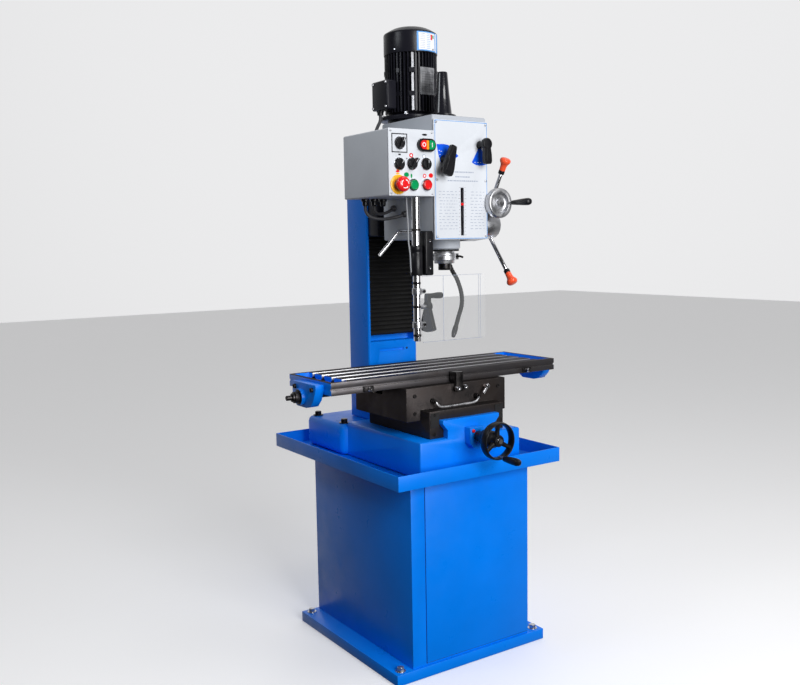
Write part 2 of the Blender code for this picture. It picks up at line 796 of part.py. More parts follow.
def make_head_housing():
    """The hollow gearbox casting, open at the front under its front plate."""
    housing = block(
        "head_housing",
        (-HEAD_HALF_X, HEAD_FRONT, HEAD_BOTTOM),
        (HEAD_HALF_X, HEAD_BACK, HEAD_TOP),
        GREY,
        0.005,
        2,
    )
    cavity = block(
        "head_cavity",
        (-HEAD_HALF_X + WALL, HEAD_FRONT - 0.02, HEAD_BOTTOM + WALL),
        (HEAD_HALF_X - WALL, HEAD_BACK - WALL, HEAD_TOP - WALL),
    )
    swivel_y = (HEAD_BACK + 0.062) / 2 - 0.004
    swivel = cylinder("swivel_disc", (0, swivel_y, SWIVEL_Z), 0.082, 0.050, "Y", sides=32)
    nose = turned(
        "quill_boss",
        [(0, 1.235), (0.046, 1.235), (0.046, 1.194), (0.042, 1.190), (0, 1.190)],
        (0, SPINDLE_Y, 0),
        "Z",
        None,
        24,
    )
    quill_bore = cylinder("quill_bore", (0, SPINDLE_Y, 1.21), QUILL_R + 0.0006, 0.09, "Z", sides=24)
    top_bore = cylinder("drawbar_bore", (0, SPINDLE_Y, HEAD_TOP), 0.0125, 0.06, "Z", sides=24)
    motor_bore = cylinder("motor_bore", (0, 0, HEAD_TOP), 0.0095, 0.06, "Z", sides=24)
    pinion_bore = cylinder("pinion_bore", (0.09, PINION_Y, PINION_Z), 0.0105, 0.05, "X", sides=24)
    lock_bore = cylinder("lock_bore", (-0.09, SPINDLE_Y, 1.243), 0.0055, 0.05, "X", sides=20)
    join(housing, swivel, nose)
    pinion_room = cylinder("pinion_room", (0, 0, 1.4770), 0.0175, 0.133, "Z", sides=20)
    cut(housing, cavity, pinion_room, quill_bore, top_bore, motor_bore, pinion_bore, lock_bore)
    plate = block(
        "front_plate",
        (-HEAD_HALF_X, PLATE_FRONT, HEAD_BOTTOM),
        (HEAD_HALF_X, HEAD_FRONT - GAP, 1.543),
        WHITE,
        0.002,
        1,
    )
    slot = block("depth_slot", (-0.0035, -0.26, 1.228), (0.0075, -0.22, 1.360))
    cut(plate, slot)
    for side, (x, z) in (("left", LEFT_SELECTOR), ("right", RIGHT_SELECTOR)):
        cut(plate, cylinder(side + "_selector_bore", (x, PLATE_FRONT, z), 0.0065, 0.05, "Y", sides=20))


LEFT_SELECTOR = (-0.062, 1.436)
RIGHT_SELECTOR = (0.064, 1.479)


def gear(name, teeth, module, thickness, centre, first_angle, bore, material):
    """A spur gear about Z whose first tooth points at first_angle, in degrees."""
    pitch_r = teeth * module / 2
    tip_r, root_r = pitch_r + 0.75 * module, pitch_r - 1.05 * module
    step = 360 / teeth
    rim = []
    for tooth in range(teeth):
        middle = first_angle + tooth * step
        for radius, share in ((root_r, -0.28), (tip_r, -0.105), (tip_r, 0.105), (root_r, 0.28)):
            angle = math.radians(middle + share * step)
            rim.append((radius * math.cos(angle), radius * math.sin(angle)))
    made = outline(name, rim, thickness, centre, "Z", material)
    return cut(made, cylinder(name + "_bore", centre, bore, thickness * 3, "Z", sides=12))


def make_gear_train():
    """Motor pinion, idler and spindle gear, in mesh on parallel upright shafts."""
    module, z, thick = 0.003, 1.470, 0.014
    teeth = {"pinion": 9, "idler": 30, "spindle": 36}
    motor, spindle = Vector((0, 0, z)), Vector((0, SPINDLE_Y, z))
    near = (teeth["pinion"] + teeth["idler"]) * module / 2
    far = (teeth["spindle"] + teeth["idler"]) * module / 2
    along = (near**2 - far**2 + SPINDLE_Y**2) / (2 * -SPINDLE_Y)
    idler = Vector((math.sqrt(near**2 - along**2), -along, z))

    def bearing(start, end):
        return math.degrees(math.atan2(end.y - start.y, end.x - start.x))

    to_motor, to_spindle = bearing(idler, motor), bearing(idler, spindle)
    pitch = 360 / teeth["idler"]
    lag = ((to_spindle - to_motor) / pitch) % 1.0
    pinion_gear = gear(
        "motor_pinion", teeth["pinion"], module, thick, motor,
        to_motor + 180 + 180 / teeth["pinion"], 0.0083, STEEL,
    )
    idler_gear = gear("idler_gear", teeth["idler"], module, thick, idler, to_motor, 0.0083, STEEL)
    spindle_gear = gear(
        "spindle_gear", teeth["spindle"], module, thick, spindle,
        to_spindle + 180 + (0.5 + lag) * 360 / teeth["spindle"], 0.0135, STEEL,
    )
    inside_top = HEAD_TOP - WALL - GAP
    inside_bottom = HEAD_BOTTOM + WALL + GAP
    pinion_place = (0, 0, (z - 0.010 + HEAD_TOP + 0.004) / 2)
    pinion_shaft = cylinder("pinion_shaft", pinion_place, 0.0085, HEAD_TOP + 0.014 - z, sides=20)
    idler_place = (*idler.xy, (inside_top + inside_bottom) / 2)
    idler_long = inside_top - inside_bottom
    idler_shaft = cylinder("idler_shaft", idler_place, 0.0085, idler_long, sides=20)
    sleeve = turned(
        "spindle_sleeve",
        [(0.0118, z + 0.030), (0.0180, z + 0.030), (0.0180, z - 0.028), (0.0118, z - 0.028)],
        (0, SPINDLE_Y, 0),
        "Z",
        None,
        12,
    )
    join(pinion_gear, pinion_shaft)
    join(idler_gear, idler_shaft)
    join(spindle_gear, sleeve)
    about(motor, pinion_gear)
    about(idler, idler_gear)
    about(spindle, spindle_gear)


def make_motor():
    """The finned motor body on its round flange, under the fan cowl, with a terminal box."""
    fins, bottom, top = 30, 1.588, 1.7545
    rim = []
    for fin in range(fins):
        for radius, share in ((0.0690, -0.30), (MOTOR_R, -0.17), (MOTOR_R, 0.17), (0.0690, 0.30)):
            angle = math.radians((fin + share) * 360 / fins)
            rim.append((radius * math.cos(angle), radius * math.sin(angle)))
    body = outline("motor_body", rim, top - bottom, (0, 0, (top + bottom) / 2), "Z", MOTOR_BLACK)
    flange = turned(
        "motor_flange",
        [
            (0, bottom + 0.004),
            (0.0600, bottom + 0.004),
            (0.0720, 1.5800),
            (0.0930, 1.5780),
            (0.0930, 1.5663),
            (0.0700, 1.5663),
            (0.0700, HEAD_TOP + GAP),
            (0, HEAD_TOP + GAP),
        ],
        (0, 0, 0),
        "Z",
        None,
        28,
    )
    join(body, flange)
    cut(body, cylinder("motor_shaft_room", (0, 0, HEAD_TOP), 0.0095, 0.030, "Z", sides=24))
    turned(
        "fan_cowl",
        [
            (0, 1.8335),
            (0.0310, 1.8330),
            (0.0560, 1.8290),
            (0.0790, 1.8150),
            (0.0790, 1.7548),
            (0.0760, 1.7548),
            (0.0760, 1.8140),
            (0.0550, 1.8262),
            (0.0310, 1.8300),
            (0, 1.8305),
        ],
        (0, 0, 0),
        "Z",
        MOTOR_BLACK,
        28,
    )
    low, high = (-0.112, -0.041, 1.594), (-MOTOR_R - 0.0008, 0.041, 1.676)
    block("terminal_box", low, high, MOTOR_BLACK, 0.003, 1)
    turned(
        "drawbar_cover",
        [
            (0, 1.6860),
            (0.0120, 1.6860),
            (0.0140, 1.6840),
            (0.0260, 1.5680),
            (0.0380, 1.5660),
            (0.0380, HEAD_TOP + GAP),
            (0.0145, HEAD_TOP + GAP),
            (0.0145, 1.5900),
            (0.0095, 1.6600),
            (0, 1.6600),
        ],
        (0, SPINDLE_Y, 0),
        "Z",
        MOTOR_BLACK,
        24,
    )


def make_spindle():
    """The quill, which slides in the head, and the spindle that turns in it."""
    quill = turned(
        "quill",
        [
            (0.0190, 1.4000),
            (QUILL_R, 1.4000),
            (QUILL_R, 1.1500),
            (0.0190, 1.1500),
        ],
        (0, SPINDLE_Y, 0),
        "Z",
        STEEL,
        24,
    )
    collar = turned(
        "quill_collar",
        [(QUILL_R + 0.0004, 1.1790), (0.0335, 1.1790), (0.0335, 1.1585), (QUILL_R + 0.0004, 1.1585)],
        (0, SPINDLE_Y, 0),
        "Z",
        STEEL,
        24,
    )
    lug = block("collar_lug", (0.0310, SPINDLE_Y - 0.006, 1.1600), (0.0470, SPINDLE_Y + 0.006, 1.1775))
    join(collar, lug)
    spindle = turned(
        "spindle",
        [
            (0, 1.6400),
            (0.0080, 1.6400),
            (0.0080, 1.6010),
            (0.0110, 1.5990),
            (0.0110, 1.4200),
            (0.0180, 1.4180),
            (0.0180, 1.4006),
            (0.0186, 1.4004),
            (0.0186, 1.1494),
            (SPINDLE_R, 1.1490),
            (SPINDLE_R, 1.1320),
            (0.0165, 1.1305),
            (0.0120, 1.1305),
            (0.0090, 1.2100),
            (0, 1.2110),
        ],
        (0, SPINDLE_Y, 0),
        "Z",
        BLACK,
        20,
    )
    about((0, SPINDLE_Y, 1.13), spindle)
    about((0, SPINDLE_Y, 1.15), quill, collar)


def make_feed_case(right):
    """The cast case of the worm and pinion, at the right of the head."""
    left = HEAD_HALF_X + GAP
    middle, depth = (left + right) / 2, right - left
    front = Vector((-0.192, 1.257))
    back = Vector((PINION_Y, PINION_Z))
    shell = arc(back, 0.048, -90, 90, 8) + arc(front, 0.037, 90, 270, 8)
    case = outline("feed_case", shell, depth, (middle, 0, 0), "X", GREY)
    tower = cylinder("worm_tower", (WORM_X, -0.170, WORM_Z), 0.024, 0.118, "Y")
    root = block("tower_root", (left, -0.212, 1.275), (right - 0.002, -0.116, 1.322))
    join(case, root, tower)
    cut(
        case,
        cylinder("case_pinion_bore", (middle, PINION_Y, PINION_Z), 0.0105, 0.2, "X", sides=24),
        cylinder("worm_bore", (WORM_X, -0.20, WORM_Z), 0.0068, 0.12, "Y", sides=20),
    )


def make_capstan(right):
    """The capstan: a hub on the pinion shaft, three rods and their knobs."""
    hub_x = 0.186
    hub = turned(
        "capstan_hub",
        [
            (0, hub_x + 0.024),
            (0.0180, hub_x + 0.022),
            (0.0220, hub_x + 0.016),
            (0.0320, hub_x + 0.012),
            (0.0320, hub_x - 0.014),
            (0.0440, hub_x - 0.018),
            (0.0440, right + GAP),
            (0.0100, right + GAP),
            (0.0100, 0.0130),
            (0.0180, 0.0125),
            (0.0180, -0.0125),
            (0, -0.0130),
        ],
        (0, PINION_Y, PINION_Z),
        "X",
        STEEL,
        32,
    )
    axis = Vector((hub_x, PINION_Y, PINION_Z))
    knobs = []
    for number, turn in enumerate((115.5, 235.5, 355.5), 1):
        angle = math.radians(turn)
        out = Vector((0.055, math.cos(angle), math.sin(angle))).normalized()
        ends = [axis + out * 0.020, axis + out * 0.1660]
        join(hub, tube(f"capstan_rod_{number}", ends, 0.0059, None, 1))
        knob = turned(
            f"capstan_knob_{number}",
            [
                (0, 0.2130),
                (0.0090, 0.2120),
                (0.0150, 0.2060),
                (0.0165, 0.1990),
                (0.0155, 0.1900),
                (0.0105, 0.1800),
                (0.0080, 0.1720),
                (0.0080, 0.1663),
                (0, 0.1663),
            ],
            axis,
            "Z",
            ORANGE,
            14,
        )
        knob.rotation_euler = out.to_track_quat("Z", "Y").to_euler()
        knobs.append(knob)
    about(axis, hub, *knobs)


def make_fine_feed():
    """The fine-feed wheel in front of the worm, with its grip."""
    wheel = turned(
        "fine_feed_wheel",
        [
            (0, 0.030),
            (0.0062, 0.030),
            (0.0062, -0.0040),
            (0.0150, -0.0050),
            (0.0160, -0.0105),
            (0.0410, -0.0105),
            (0.0425, -0.0120),
            (0.0425, -0.0290),
            (0.0400, -0.0320),
            (0.0300, -0.0320),
            (0.0240, -0.0250),
            (0.0130, -0.0250),
            (0.0110, -0.0340),
            (0, -0.0350),
        ],
        (WORM_X, -0.2295, WORM_Z),
        "Y",
        STEEL,
        24,
    )
    grip = turned(
        "fine_feed_grip",
        [
            (0, -0.0200),
            (0.0055, -0.0200),
            (0.0060, -0.040),
            (0.0085, -0.048),
            (0.0100, -0.104),
            (0.0080, -0.114),
            (0, -0.116),
        ],
        (WORM_X + 0.0335, -0.2310, WORM_Z + 0.001),
        "Y",
        None,
        12,
    )
    join(wheel, grip)
    about((WORM_X, -0.2295, WORM_Z), wheel)


def make_selector(name, place, turn, top, bottom):
    """A speed selector: a spindle through the front plate and a tapered paddle handle."""
    x, z = place
    angle = math.radians(turn)
    handle = [
        (-0.012, -top),
        (-0.019, bottom * 0.55),
        (-0.019, bottom - 0.006),
        (-0.013, bottom),
        (0.013, bottom),
        (0.019, bottom - 0.006),
        (0.019, bottom * 0.55),
        (0.012, -top),
    ]
    paddle = outline(name, [(u, -v) for u, v in handle], 0.020, (0, 0, 0), "Y", BLACK)
    paddle.matrix_world = (
        Matrix.Translation((x, PLATE_FRONT - 0.028, z))
        @ Matrix.Rotation(-angle, 4, "Y").inverted()
        @ paddle.matrix_world
    )
    bevel = paddle.modifiers.new("rounded_edges", "BEVEL")
    bevel.width = 0.004
    bevel.segments = 2
    bevel.limit_method = "ANGLE"
    stem = cylinder(name + "_stem", (x, PLATE_FRONT - 0.002, z), 0.0062, 0.040, "Y", sides=20)
    disc = cylinder(name + "_disc", (x, PLATE_FRONT - 0.0145, z), 0.0205, 0.027, "Y", sides=28)
    join(paddle, disc, stem)
    about((x, PLATE_FRONT, z), paddle)


def make_quill_lock():
    """The bent lever at the left of the head that clamps the quill."""
    z = 1.243
    lever = tube(
        "quill_lock_lever",
        [
            (-0.085, SPINDLE_Y, z),
            (-0.150, SPINDLE_Y, z),
            (-0.156, SPINDLE_Y, z - 0.001),
            (-0.162, SPINDLE_Y, z - 0.005),
            (-0.220, SPINDLE_Y, z - 0.064),
        ],
        0.0047,
        CHROME,
        2,
    )
    collar = cylinder("lock_collar", (-0.100, SPINDLE_Y, z), 0.0095, 0.012, "X", sides=20)
    join(lever, collar)
    about((-0.1, SPINDLE_Y, z), lever)


# ---- control box ---------------------------------------------------------------------------


def make_control_box():
    """The sheet-metal box at the left of the head, its front panel and its controls."""
    case = block(
        "control_box",
        (BOX_LEFT, BOX_FRONT + GAP, BOX_BOTTOM),
        (BOX_RIGHT, BOX_BACK, BOX_TOP),
        GREY,
        0.003,
        1,
    )
    inside = block(
        "box_inside",
        (BOX_LEFT + 0.002, BOX_FRONT - 0.02, BOX_BOTTOM + 0.002),
        (BOX_RIGHT - 0.002, BOX_BACK - 0.002, BOX_TOP - 0.002),
    )
    cut(case, inside)
    panel = block(
        "control_panel",
        (BOX_LEFT, PANEL_FRONT, BOX_BOTTOM),
        (BOX_RIGHT, BOX_FRONT, BOX_TOP),
        WHITE,
        0.001,
        1,
    )
    face = PANEL_FRONT
    for name, x, z, radius, profile, material in CONTROLS:
        hole = radius + 0.0005
        cut(panel, cylinder(name + "_hole", (x, face, z), hole, 0.03, "Y", sides=16))
        stem = [(0, 0.020), (radius, 0.020), (radius, profile[0][1])]
        points = stem + profile + [(0, profile[-1][1])]
        piece = turned(name, points, (x, face, z), "Y", material, 16)
        about((x, face, z), piece)
    for name, x, z, half, turn in SELECTORS:
        cut(panel, cylinder(name + "_hole", (x, face, z), 0.0055, 0.03, "Y", sides=12))
        knob = cylinder(name, (x, face - 0.0055, z), 0.0140, 0.0075, "Y", BLACK, 20)
        bar = block(name + "_bar", (-0.0042, -0.0075, -half), (0.0042, 0.0075, half))
        bar.location = (x, face - 0.0125, z)
        bar.rotation_euler = (0, math.radians(turn), 0)
        stem = cylinder(name + "_stem", (x, face + 0.007, z), 0.0048, 0.026, "Y", sides=12)
        join(knob, bar, stem)
        about((x, face, z), knob)


ROUND_CAP = [(0.0130, -0.0045), (0.0130, -0.0100), (0.0100, -0.0118)]
POWER_CAP = [(0.0125, -0.0065), (0.0125, -0.0110), (0.0105, -0.0126)]
CONTROLS = (
    (
        "emergency_stop", -0.211, 1.3645, 0.0075,
        [
            (0.0125, -0.0060),
            (0.0130, -0.0150),
            (0.0200, -0.0180),
            (0.0205, -0.0240),
            (0.0170, -0.0300),
            (0.0090, -0.0330),
        ],
        RED,
    ),
    ("start_button", -0.165, 1.3640, 0.0095, ROUND_CAP, GREEN),
    ("stop_button", -0.121, 1.3650, 0.0095, ROUND_CAP, RED),
    ("power_on_button", -0.1070, 1.4710, 0.0085, POWER_CAP, GREEN),
    ("power_off_button", -0.1340, 1.4700, 0.0085, POWER_CAP, RED),
)
SELECTORS = (
    ("speed_range_switch", -0.206, 1.4730, 0.0140, 20),
    ("coolant_selector", -0.208, 1.4180, 0.0120, 30),
    ("direction_selector", -0.167, 1.4200, 0.0160, -35),
    ("mode_selector", -0.121, 1.4205, 0.0120, 0),
)


# ---- chip guard, hose and cable ------------------------------------------------------------


def make_guard():
    """The clear chip guard on its pole, clamped beside the head."""
    low, high = (-0.1221, -0.2330, 1.1205), (-0.0934, -0.1980, 1.2420)
    block("guard_bracket", low, high, BLACK, 0.003, 1)
    turned(
        "guard_clamp",
        [
            (POLE_R + 0.0004, 1.2020),
            (0.0165, 1.2020),
            (0.0175, 1.1980),
            (0.0175, 1.1240),
            (0.0160, 1.1200),
            (POLE_R + 0.0004, 1.1200),
        ],
        (POLE_X, POLE_Y, 0),
        "Z",
        BLACK,
        20,
    )
    pole_place = (POLE_X, POLE_Y, (1.3335 + 0.915) / 2)
    pole = cylinder("guard_pole", pole_place, POLE_R, 1.3335 - 0.915, "Z", CHROME, 16)
    collars = [
        cylinder(f"pole_collar_{n}", (POLE_X, POLE_Y, z), 0.0118, 0.018, "Z", sides=16)
        for n, z in enumerate((1.077, 0.985))
    ]
    ears = []
    for n, z in enumerate((1.077, 0.985)):
        low = (POLE_X, POLE_Y - 0.004, z - 0.007)
        high = (POLE_X + 0.026, POLE_Y + 0.0015, z + 0.007)
        ears.append(block(f"panel_ear_{n}", low, high))
    join(pole, *collars, *ears)
    y = POLE_Y - 0.0043
    sheet = [
        (-0.1260, y),
        (-0.1260, y - 0.003),
        (0.0850, y - 0.003),
        (0.1040, y + 0.006),
        (0.1028, y + 0.0088),
        (0.0842, y),
    ]
    guard = outline("guard_panel", sheet, 0.184, (0, 0, 1.027), "Z", CLEAR)
    about((POLE_X, POLE_Y, 1.0), pole, guard)


HOSE = (
    (0.0520, -0.0700, 1.2140),
    (0.0530, -0.0705, 1.200),
    (0.060, -0.075, 1.182),
    (0.070, -0.082, 1.152),
    (0.078, -0.088, 1.126),
    (0.090, -0.097, 1.098),
    (0.095, -0.110, 1.058),
    (0.088, -0.120, 1.024),
    (0.067, -0.131, 0.990),
    (0.046, -0.142, 0.956),
)


def make_hose():
    """The gooseneck coolant hose under the head, and its nozzle."""
    hose = tube("coolant_hose", smooth_route(HOSE, 3), 0.0063, RUBBER, 1)
    end, before = Vector(HOSE[-1]), Vector(HOSE[-2])
    way = (end - before).normalized()
    nozzle = turned(
        "hose_nozzle",
        [(0, 0.026), (0.0050, 0.026), (0.0078, 0.016), (0.0078, -0.008), (0, -0.008)],
        end,
        "Z",
        None,
        16,
    )
    nozzle.rotation_euler = way.to_track_quat("Z", "Y").to_euler()
    join(hose, nozzle)




def make_machine():
    """Every piece of the machine, from the floor up."""
    make_stand()
    make_base()
    make_column()
    make_z_screw()
    make_bellows()
    make_crank()
    make_y_feed()
    make_saddle()
    make_lock_lever()
    make_table()
    make_table_ends()
    make_head_slide()
    make_head_housing()
    make_gear_train()
    make_motor()
    make_spindle()
    make_feed_case(CASE_RIGHT)
    make_capstan(CASE_RIGHT)
    make_fine_feed()
    make_selector("left_selector", LEFT_SELECTOR, -18, 0.034, 0.048)
    make_selector("right_selector", RIGHT_SELECTOR, 3, 0.016, 0.055)
    make_quill_lock()
    make_control_box()
    make_guard()
    make_hose()


make_machine()
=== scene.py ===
import math
import random

import bmesh
import bpy
from mathutils import Matrix, Vector


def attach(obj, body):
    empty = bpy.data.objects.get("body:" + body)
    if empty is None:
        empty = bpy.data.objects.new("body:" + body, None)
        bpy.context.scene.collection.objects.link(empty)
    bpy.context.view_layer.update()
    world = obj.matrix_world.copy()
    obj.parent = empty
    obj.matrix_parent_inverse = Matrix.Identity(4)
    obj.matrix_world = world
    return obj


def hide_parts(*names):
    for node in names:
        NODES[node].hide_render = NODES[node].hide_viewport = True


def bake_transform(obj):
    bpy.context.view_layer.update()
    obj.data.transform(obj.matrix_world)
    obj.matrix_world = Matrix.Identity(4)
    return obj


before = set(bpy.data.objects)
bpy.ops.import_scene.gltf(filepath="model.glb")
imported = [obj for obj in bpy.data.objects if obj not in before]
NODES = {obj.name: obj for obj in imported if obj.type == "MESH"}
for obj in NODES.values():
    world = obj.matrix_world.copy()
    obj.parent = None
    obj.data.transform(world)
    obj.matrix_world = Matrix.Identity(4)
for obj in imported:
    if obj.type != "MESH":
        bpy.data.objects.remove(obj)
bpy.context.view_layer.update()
random.seed(7)

FACE = -0.239  # y of the front plate and the control panel
SPINDLE = (0, -0.155, 0)  # the line of the spindle and the quill

AXES = {
    "Z": Matrix.Identity(4),
    "X": Matrix(((0, 0, 1, 0), (1, 0, 0, 0), (0, 1, 0, 0), (0, 0, 0, 1))),
    "Y": Matrix(((1, 0, 0, 0), (0, 0, 1, 0), (0, -1, 0, 0), (0, 0, 0, 1))),
    "-Y": Matrix(((1, 0, 0, 0), (0, 0, -1, 0), (0, 1, 0, 0), (0, 0, 0, 1))),
}

# ---- camera and light ---------------------------------------------------------------------


def make_camera():
    yaw, pitch, roll = 0.5906, 0.1083, -0.0172
    ahead = Vector((math.sin(yaw) * math.cos(pitch), math.cos(yaw) * math.cos(pitch), -math.sin(pitch)))
    level = Vector((math.cos(yaw), -math.sin(yaw), 0))
    above = level.cross(ahead)
    right = math.cos(roll) * level + math.sin(roll) * above
    up = -math.sin(roll) * level + math.cos(roll) * above
    lens = bpy.data.cameras.new("camera")
    lens.lens, lens.sensor_width = 41.44, 36
    camera = bpy.data.objects.new("camera", lens)
    turn = Matrix((right, up, -ahead)).transposed().to_4x4()
    camera.matrix_world = Matrix.Translation((-1.589, -2.2886, 1.212)) @ turn
    bpy.context.scene.collection.objects.link(camera)
    bpy.context.scene.camera = camera


def area_light(name, place, target, size, power, colour=(1, 1, 1)):
    light = bpy.data.lights.new(name, "AREA")
    light.shape, light.size, light.size_y = "RECTANGLE", size[0], size[1]
    light.energy, light.color = power, colour
    made = bpy.data.objects.new(name, light)
    made.location = place
    made.rotation_euler = (Vector(target) - Vector(place)).to_track_quat("-Z", "Y").to_euler()
    bpy.context.scene.collection.objects.link(made)


def make_studio():
    world = bpy.data.worlds.new("studio")
    world.use_nodes = True
    tree = world.node_tree
    place = tree.nodes.new("ShaderNodeTexCoord")
    along = tree.nodes.new("ShaderNodeVectorMath")
    along.operation = "DOT_PRODUCT"
    along.inputs[1].default_value = (0.62, 0.75, 0.22)
    ramp = tree.nodes.new("ShaderNodeValToRGB")
    shift = tree.nodes.new("ShaderNodeMath")
    shift.operation = "MULTIPLY_ADD"
    shift.inputs[1].default_value, shift.inputs[2].default_value = 0.5, 0.5
    stops = ((0.0, 0.04), (0.42, 0.06), (0.64, 0.34), (0.84, 0.72), (1.0, 0.84))
    bands = ramp.color_ramp
    bands.interpolation = "EASE"
    while len(bands.elements) < len(stops):
        bands.elements.new(0.5)
    for element, (position, value) in zip(bands.elements, stops):
        element.position, element.color = position, (value, value, value * 1.01, 1)
    tree.links.new(place.outputs["Generated"], along.inputs[0])
    tree.links.new(along.outputs["Value"], shift.inputs[0])
    tree.links.new(shift.outputs[0], ramp.inputs["Fac"])
    tree.links.new(ramp.outputs["Color"], tree.nodes["Background"].inputs["Color"])
    bpy.context.scene.world = world
    bpy.context.scene.view_settings.view_transform = "Standard"
    area_light("key", (-0.3, -4.0, 1.9), (0, -0.1, 1.0), (2.0, 2.6), 176)
    area_light("top", (0.8, -1.7, 4.2), (0, 0, 0.8), (1.4, 1.2), 22)
    area_light("edge", (-1.25, -0.05, 2.05), (-0.2, -0.1, 1.48), (0.4, 0.5), 4.5, (0.9, 0.95, 1.0))
    floor = bpy.data.meshes.new("floor")
    bm = bmesh.new()
    bmesh.ops.create_grid(bm, x_segments=1, y_segments=1, size=14)
    bm.to_mesh(floor)
    bm.free()
    floor = bpy.data.objects.new("floor", floor)
    floor.location.z = -0.0004
    bpy.context.scene.collection.objects.link(floor)
    floor.visible_diffuse = False
    floor.visible_glossy = False
    matte, shader = new_material("pale_floor", (0.84, 0.84, 0.85), 0.75)
    shader.inputs["Emission Color"].default_value = (1, 1, 1, 1)
    shader.inputs["Emission Strength"].default_value = 0.22
    floor.data.materials.append(matte)


# ---- materials ----------------------------------------------------------------------------


def new_material(name, colour, roughness, metallic=0.0):
    material = bpy.data.materials.new(name)
    material.use_nodes = True
    shader = material.node_tree.nodes["Principled BSDF"]
    shader.inputs["Base Color"].default_value = (*colour, 1)
    shader.inputs["Roughness"].default_value = roughness
    shader.inputs["Metallic"].default_value = metallic
    return material, shader


class Graph:
    """A short way to write a material's nodes, all in object coordinates."""

    def __init__(self, material, stretch=(1, 1, 1)):
        self.tree = material.node_tree
        self.shader = self.tree.nodes["Principled BSDF"]
        self.coords = self.node("TexCoord").outputs["Object"]
        self.place = self.node("Mapping", Vector=self.coords, Scale=stretch).outputs["Vector"]

    def node(self, kind, **inputs):
        """Makes a node and feeds its named inputs."""
        made = self.tree.nodes.new("ShaderNode" + kind)
        for name, value in inputs.items():
            self.feed(value, made.inputs[name])
        return made

    def feed(self, value, socket):
        """Sets a socket to a number or a colour, or links another node's output to it."""
        if isinstance(value, (int, float)):
            socket.default_value = value
        elif isinstance(value, tuple):
            socket.default_value = (*value, 1) if socket.type == "RGBA" else value
        else:
            self.tree.links.new(value, socket)

    def noise(self, scale, detail, roughness):
        made = self.node("TexNoise", Scale=scale, Detail=detail, Roughness=roughness, Vector=self.place)
        return made.outputs["Fac"]

    def ramp(self, value, stops):
        node = self.node("ValToRGB", Fac=value)
        ramp = node.color_ramp
        while len(ramp.elements) < len(stops):
            ramp.elements.new(0.5)
        for element, (place, level) in zip(ramp.elements, stops):
            element.position, element.color = place, (level, level, level, 1)
        return node.outputs["Color"]

    def mix(self, factor, a, b):
        node = self.node("Mix")
        node.data_type = "RGBA"
        for value, socket in ((factor, node.inputs[0]), (a, node.inputs[6]), (b, node.inputs[7])):
            self.feed(value, socket)
        return node.outputs[2]

    def math(self, operation, a, b=0.0):
        node = self.node("Math")
        node.operation = operation
        self.feed(a, node.inputs[0])
        self.feed(b, node.inputs[1])
        return node.outputs[0]

    def below(self, value, limit):
        return self.math("LESS_THAN", value, limit)

    def above(self, value, limit):
        return self.math("GREATER_THAN", value, limit)

    def product(self, first, *others):
        for other in others:
            first = self.math("MULTIPLY", first, other)
        return first

    def edges(self, radius):
        """1 on an outer or inner edge within the radius, 0 on flat ground."""
        bevel = self.node("Bevel", Radius=radius)
        bevel.samples = 4
        dot = self.node("VectorMath")
        dot.operation = "DOT_PRODUCT"
        self.feed(bevel.outputs["Normal"], dot.inputs[0])
        self.feed(self.node("NewGeometry").outputs["Normal"], dot.inputs[1])
        return self.ramp(dot.outputs["Value"], [(0.86, 1.0), (0.97, 0.0)])

    def bump(self, height, strength, distance):
        node = self.node("Bump", Strength=strength, Distance=distance, Height=height)
        self.feed(node.outputs["Normal"], self.shader.inputs["Normal"])

    def colour(self, value):
        self.feed(value, self.shader.inputs["Base Color"])

    def roughness(self, value):
        self.feed(value, self.shader.inputs["Roughness"])


def shade(colour, factor):
    return tuple(min(1.0, channel * factor) for channel in colour)


def enamel(name, colour, roughness=0.3, grain=420, relief=0.1, wear=0.35, casting=0.0):
    """Sprayed enamel: orange peel, faint unevenness, handling marks and chipped edges."""
    material, shader = new_material(name, colour, roughness)
    shader.inputs["Specular IOR Level"].default_value = 0.2
    g = Graph(material)
    cloud = g.noise(5.5, 4, 0.6)
    base = g.mix(g.ramp(cloud, [(0.35, 0.0), (0.7, 1.0)]), shade(colour, 0.95), shade(colour, 1.04))
    chips = g.math("MULTIPLY", g.edges(0.0012), g.ramp(g.noise(70, 5, 0.7), [(0.5, 0.0), (0.62, 1.0)]))
    chips = g.math("MULTIPLY", chips, wear)
    worn = tuple(0.55 * c + 0.16 for c in colour)
    g.colour(g.mix(chips, base, worn))
    smear = g.ramp(g.noise(13, 5, 0.65), [(0.3, roughness * 0.8), (0.75, roughness * 1.45)])
    g.roughness(g.mix(chips, smear, (0.55, 0.55, 0.55)))
    height = g.noise(grain, 2, 0.5)
    if casting:
        height = g.math("ADD", height, g.math("MULTIPLY", g.noise(55, 4, 0.6), casting))
    g.bump(height, relief, 0.0005)
    return material


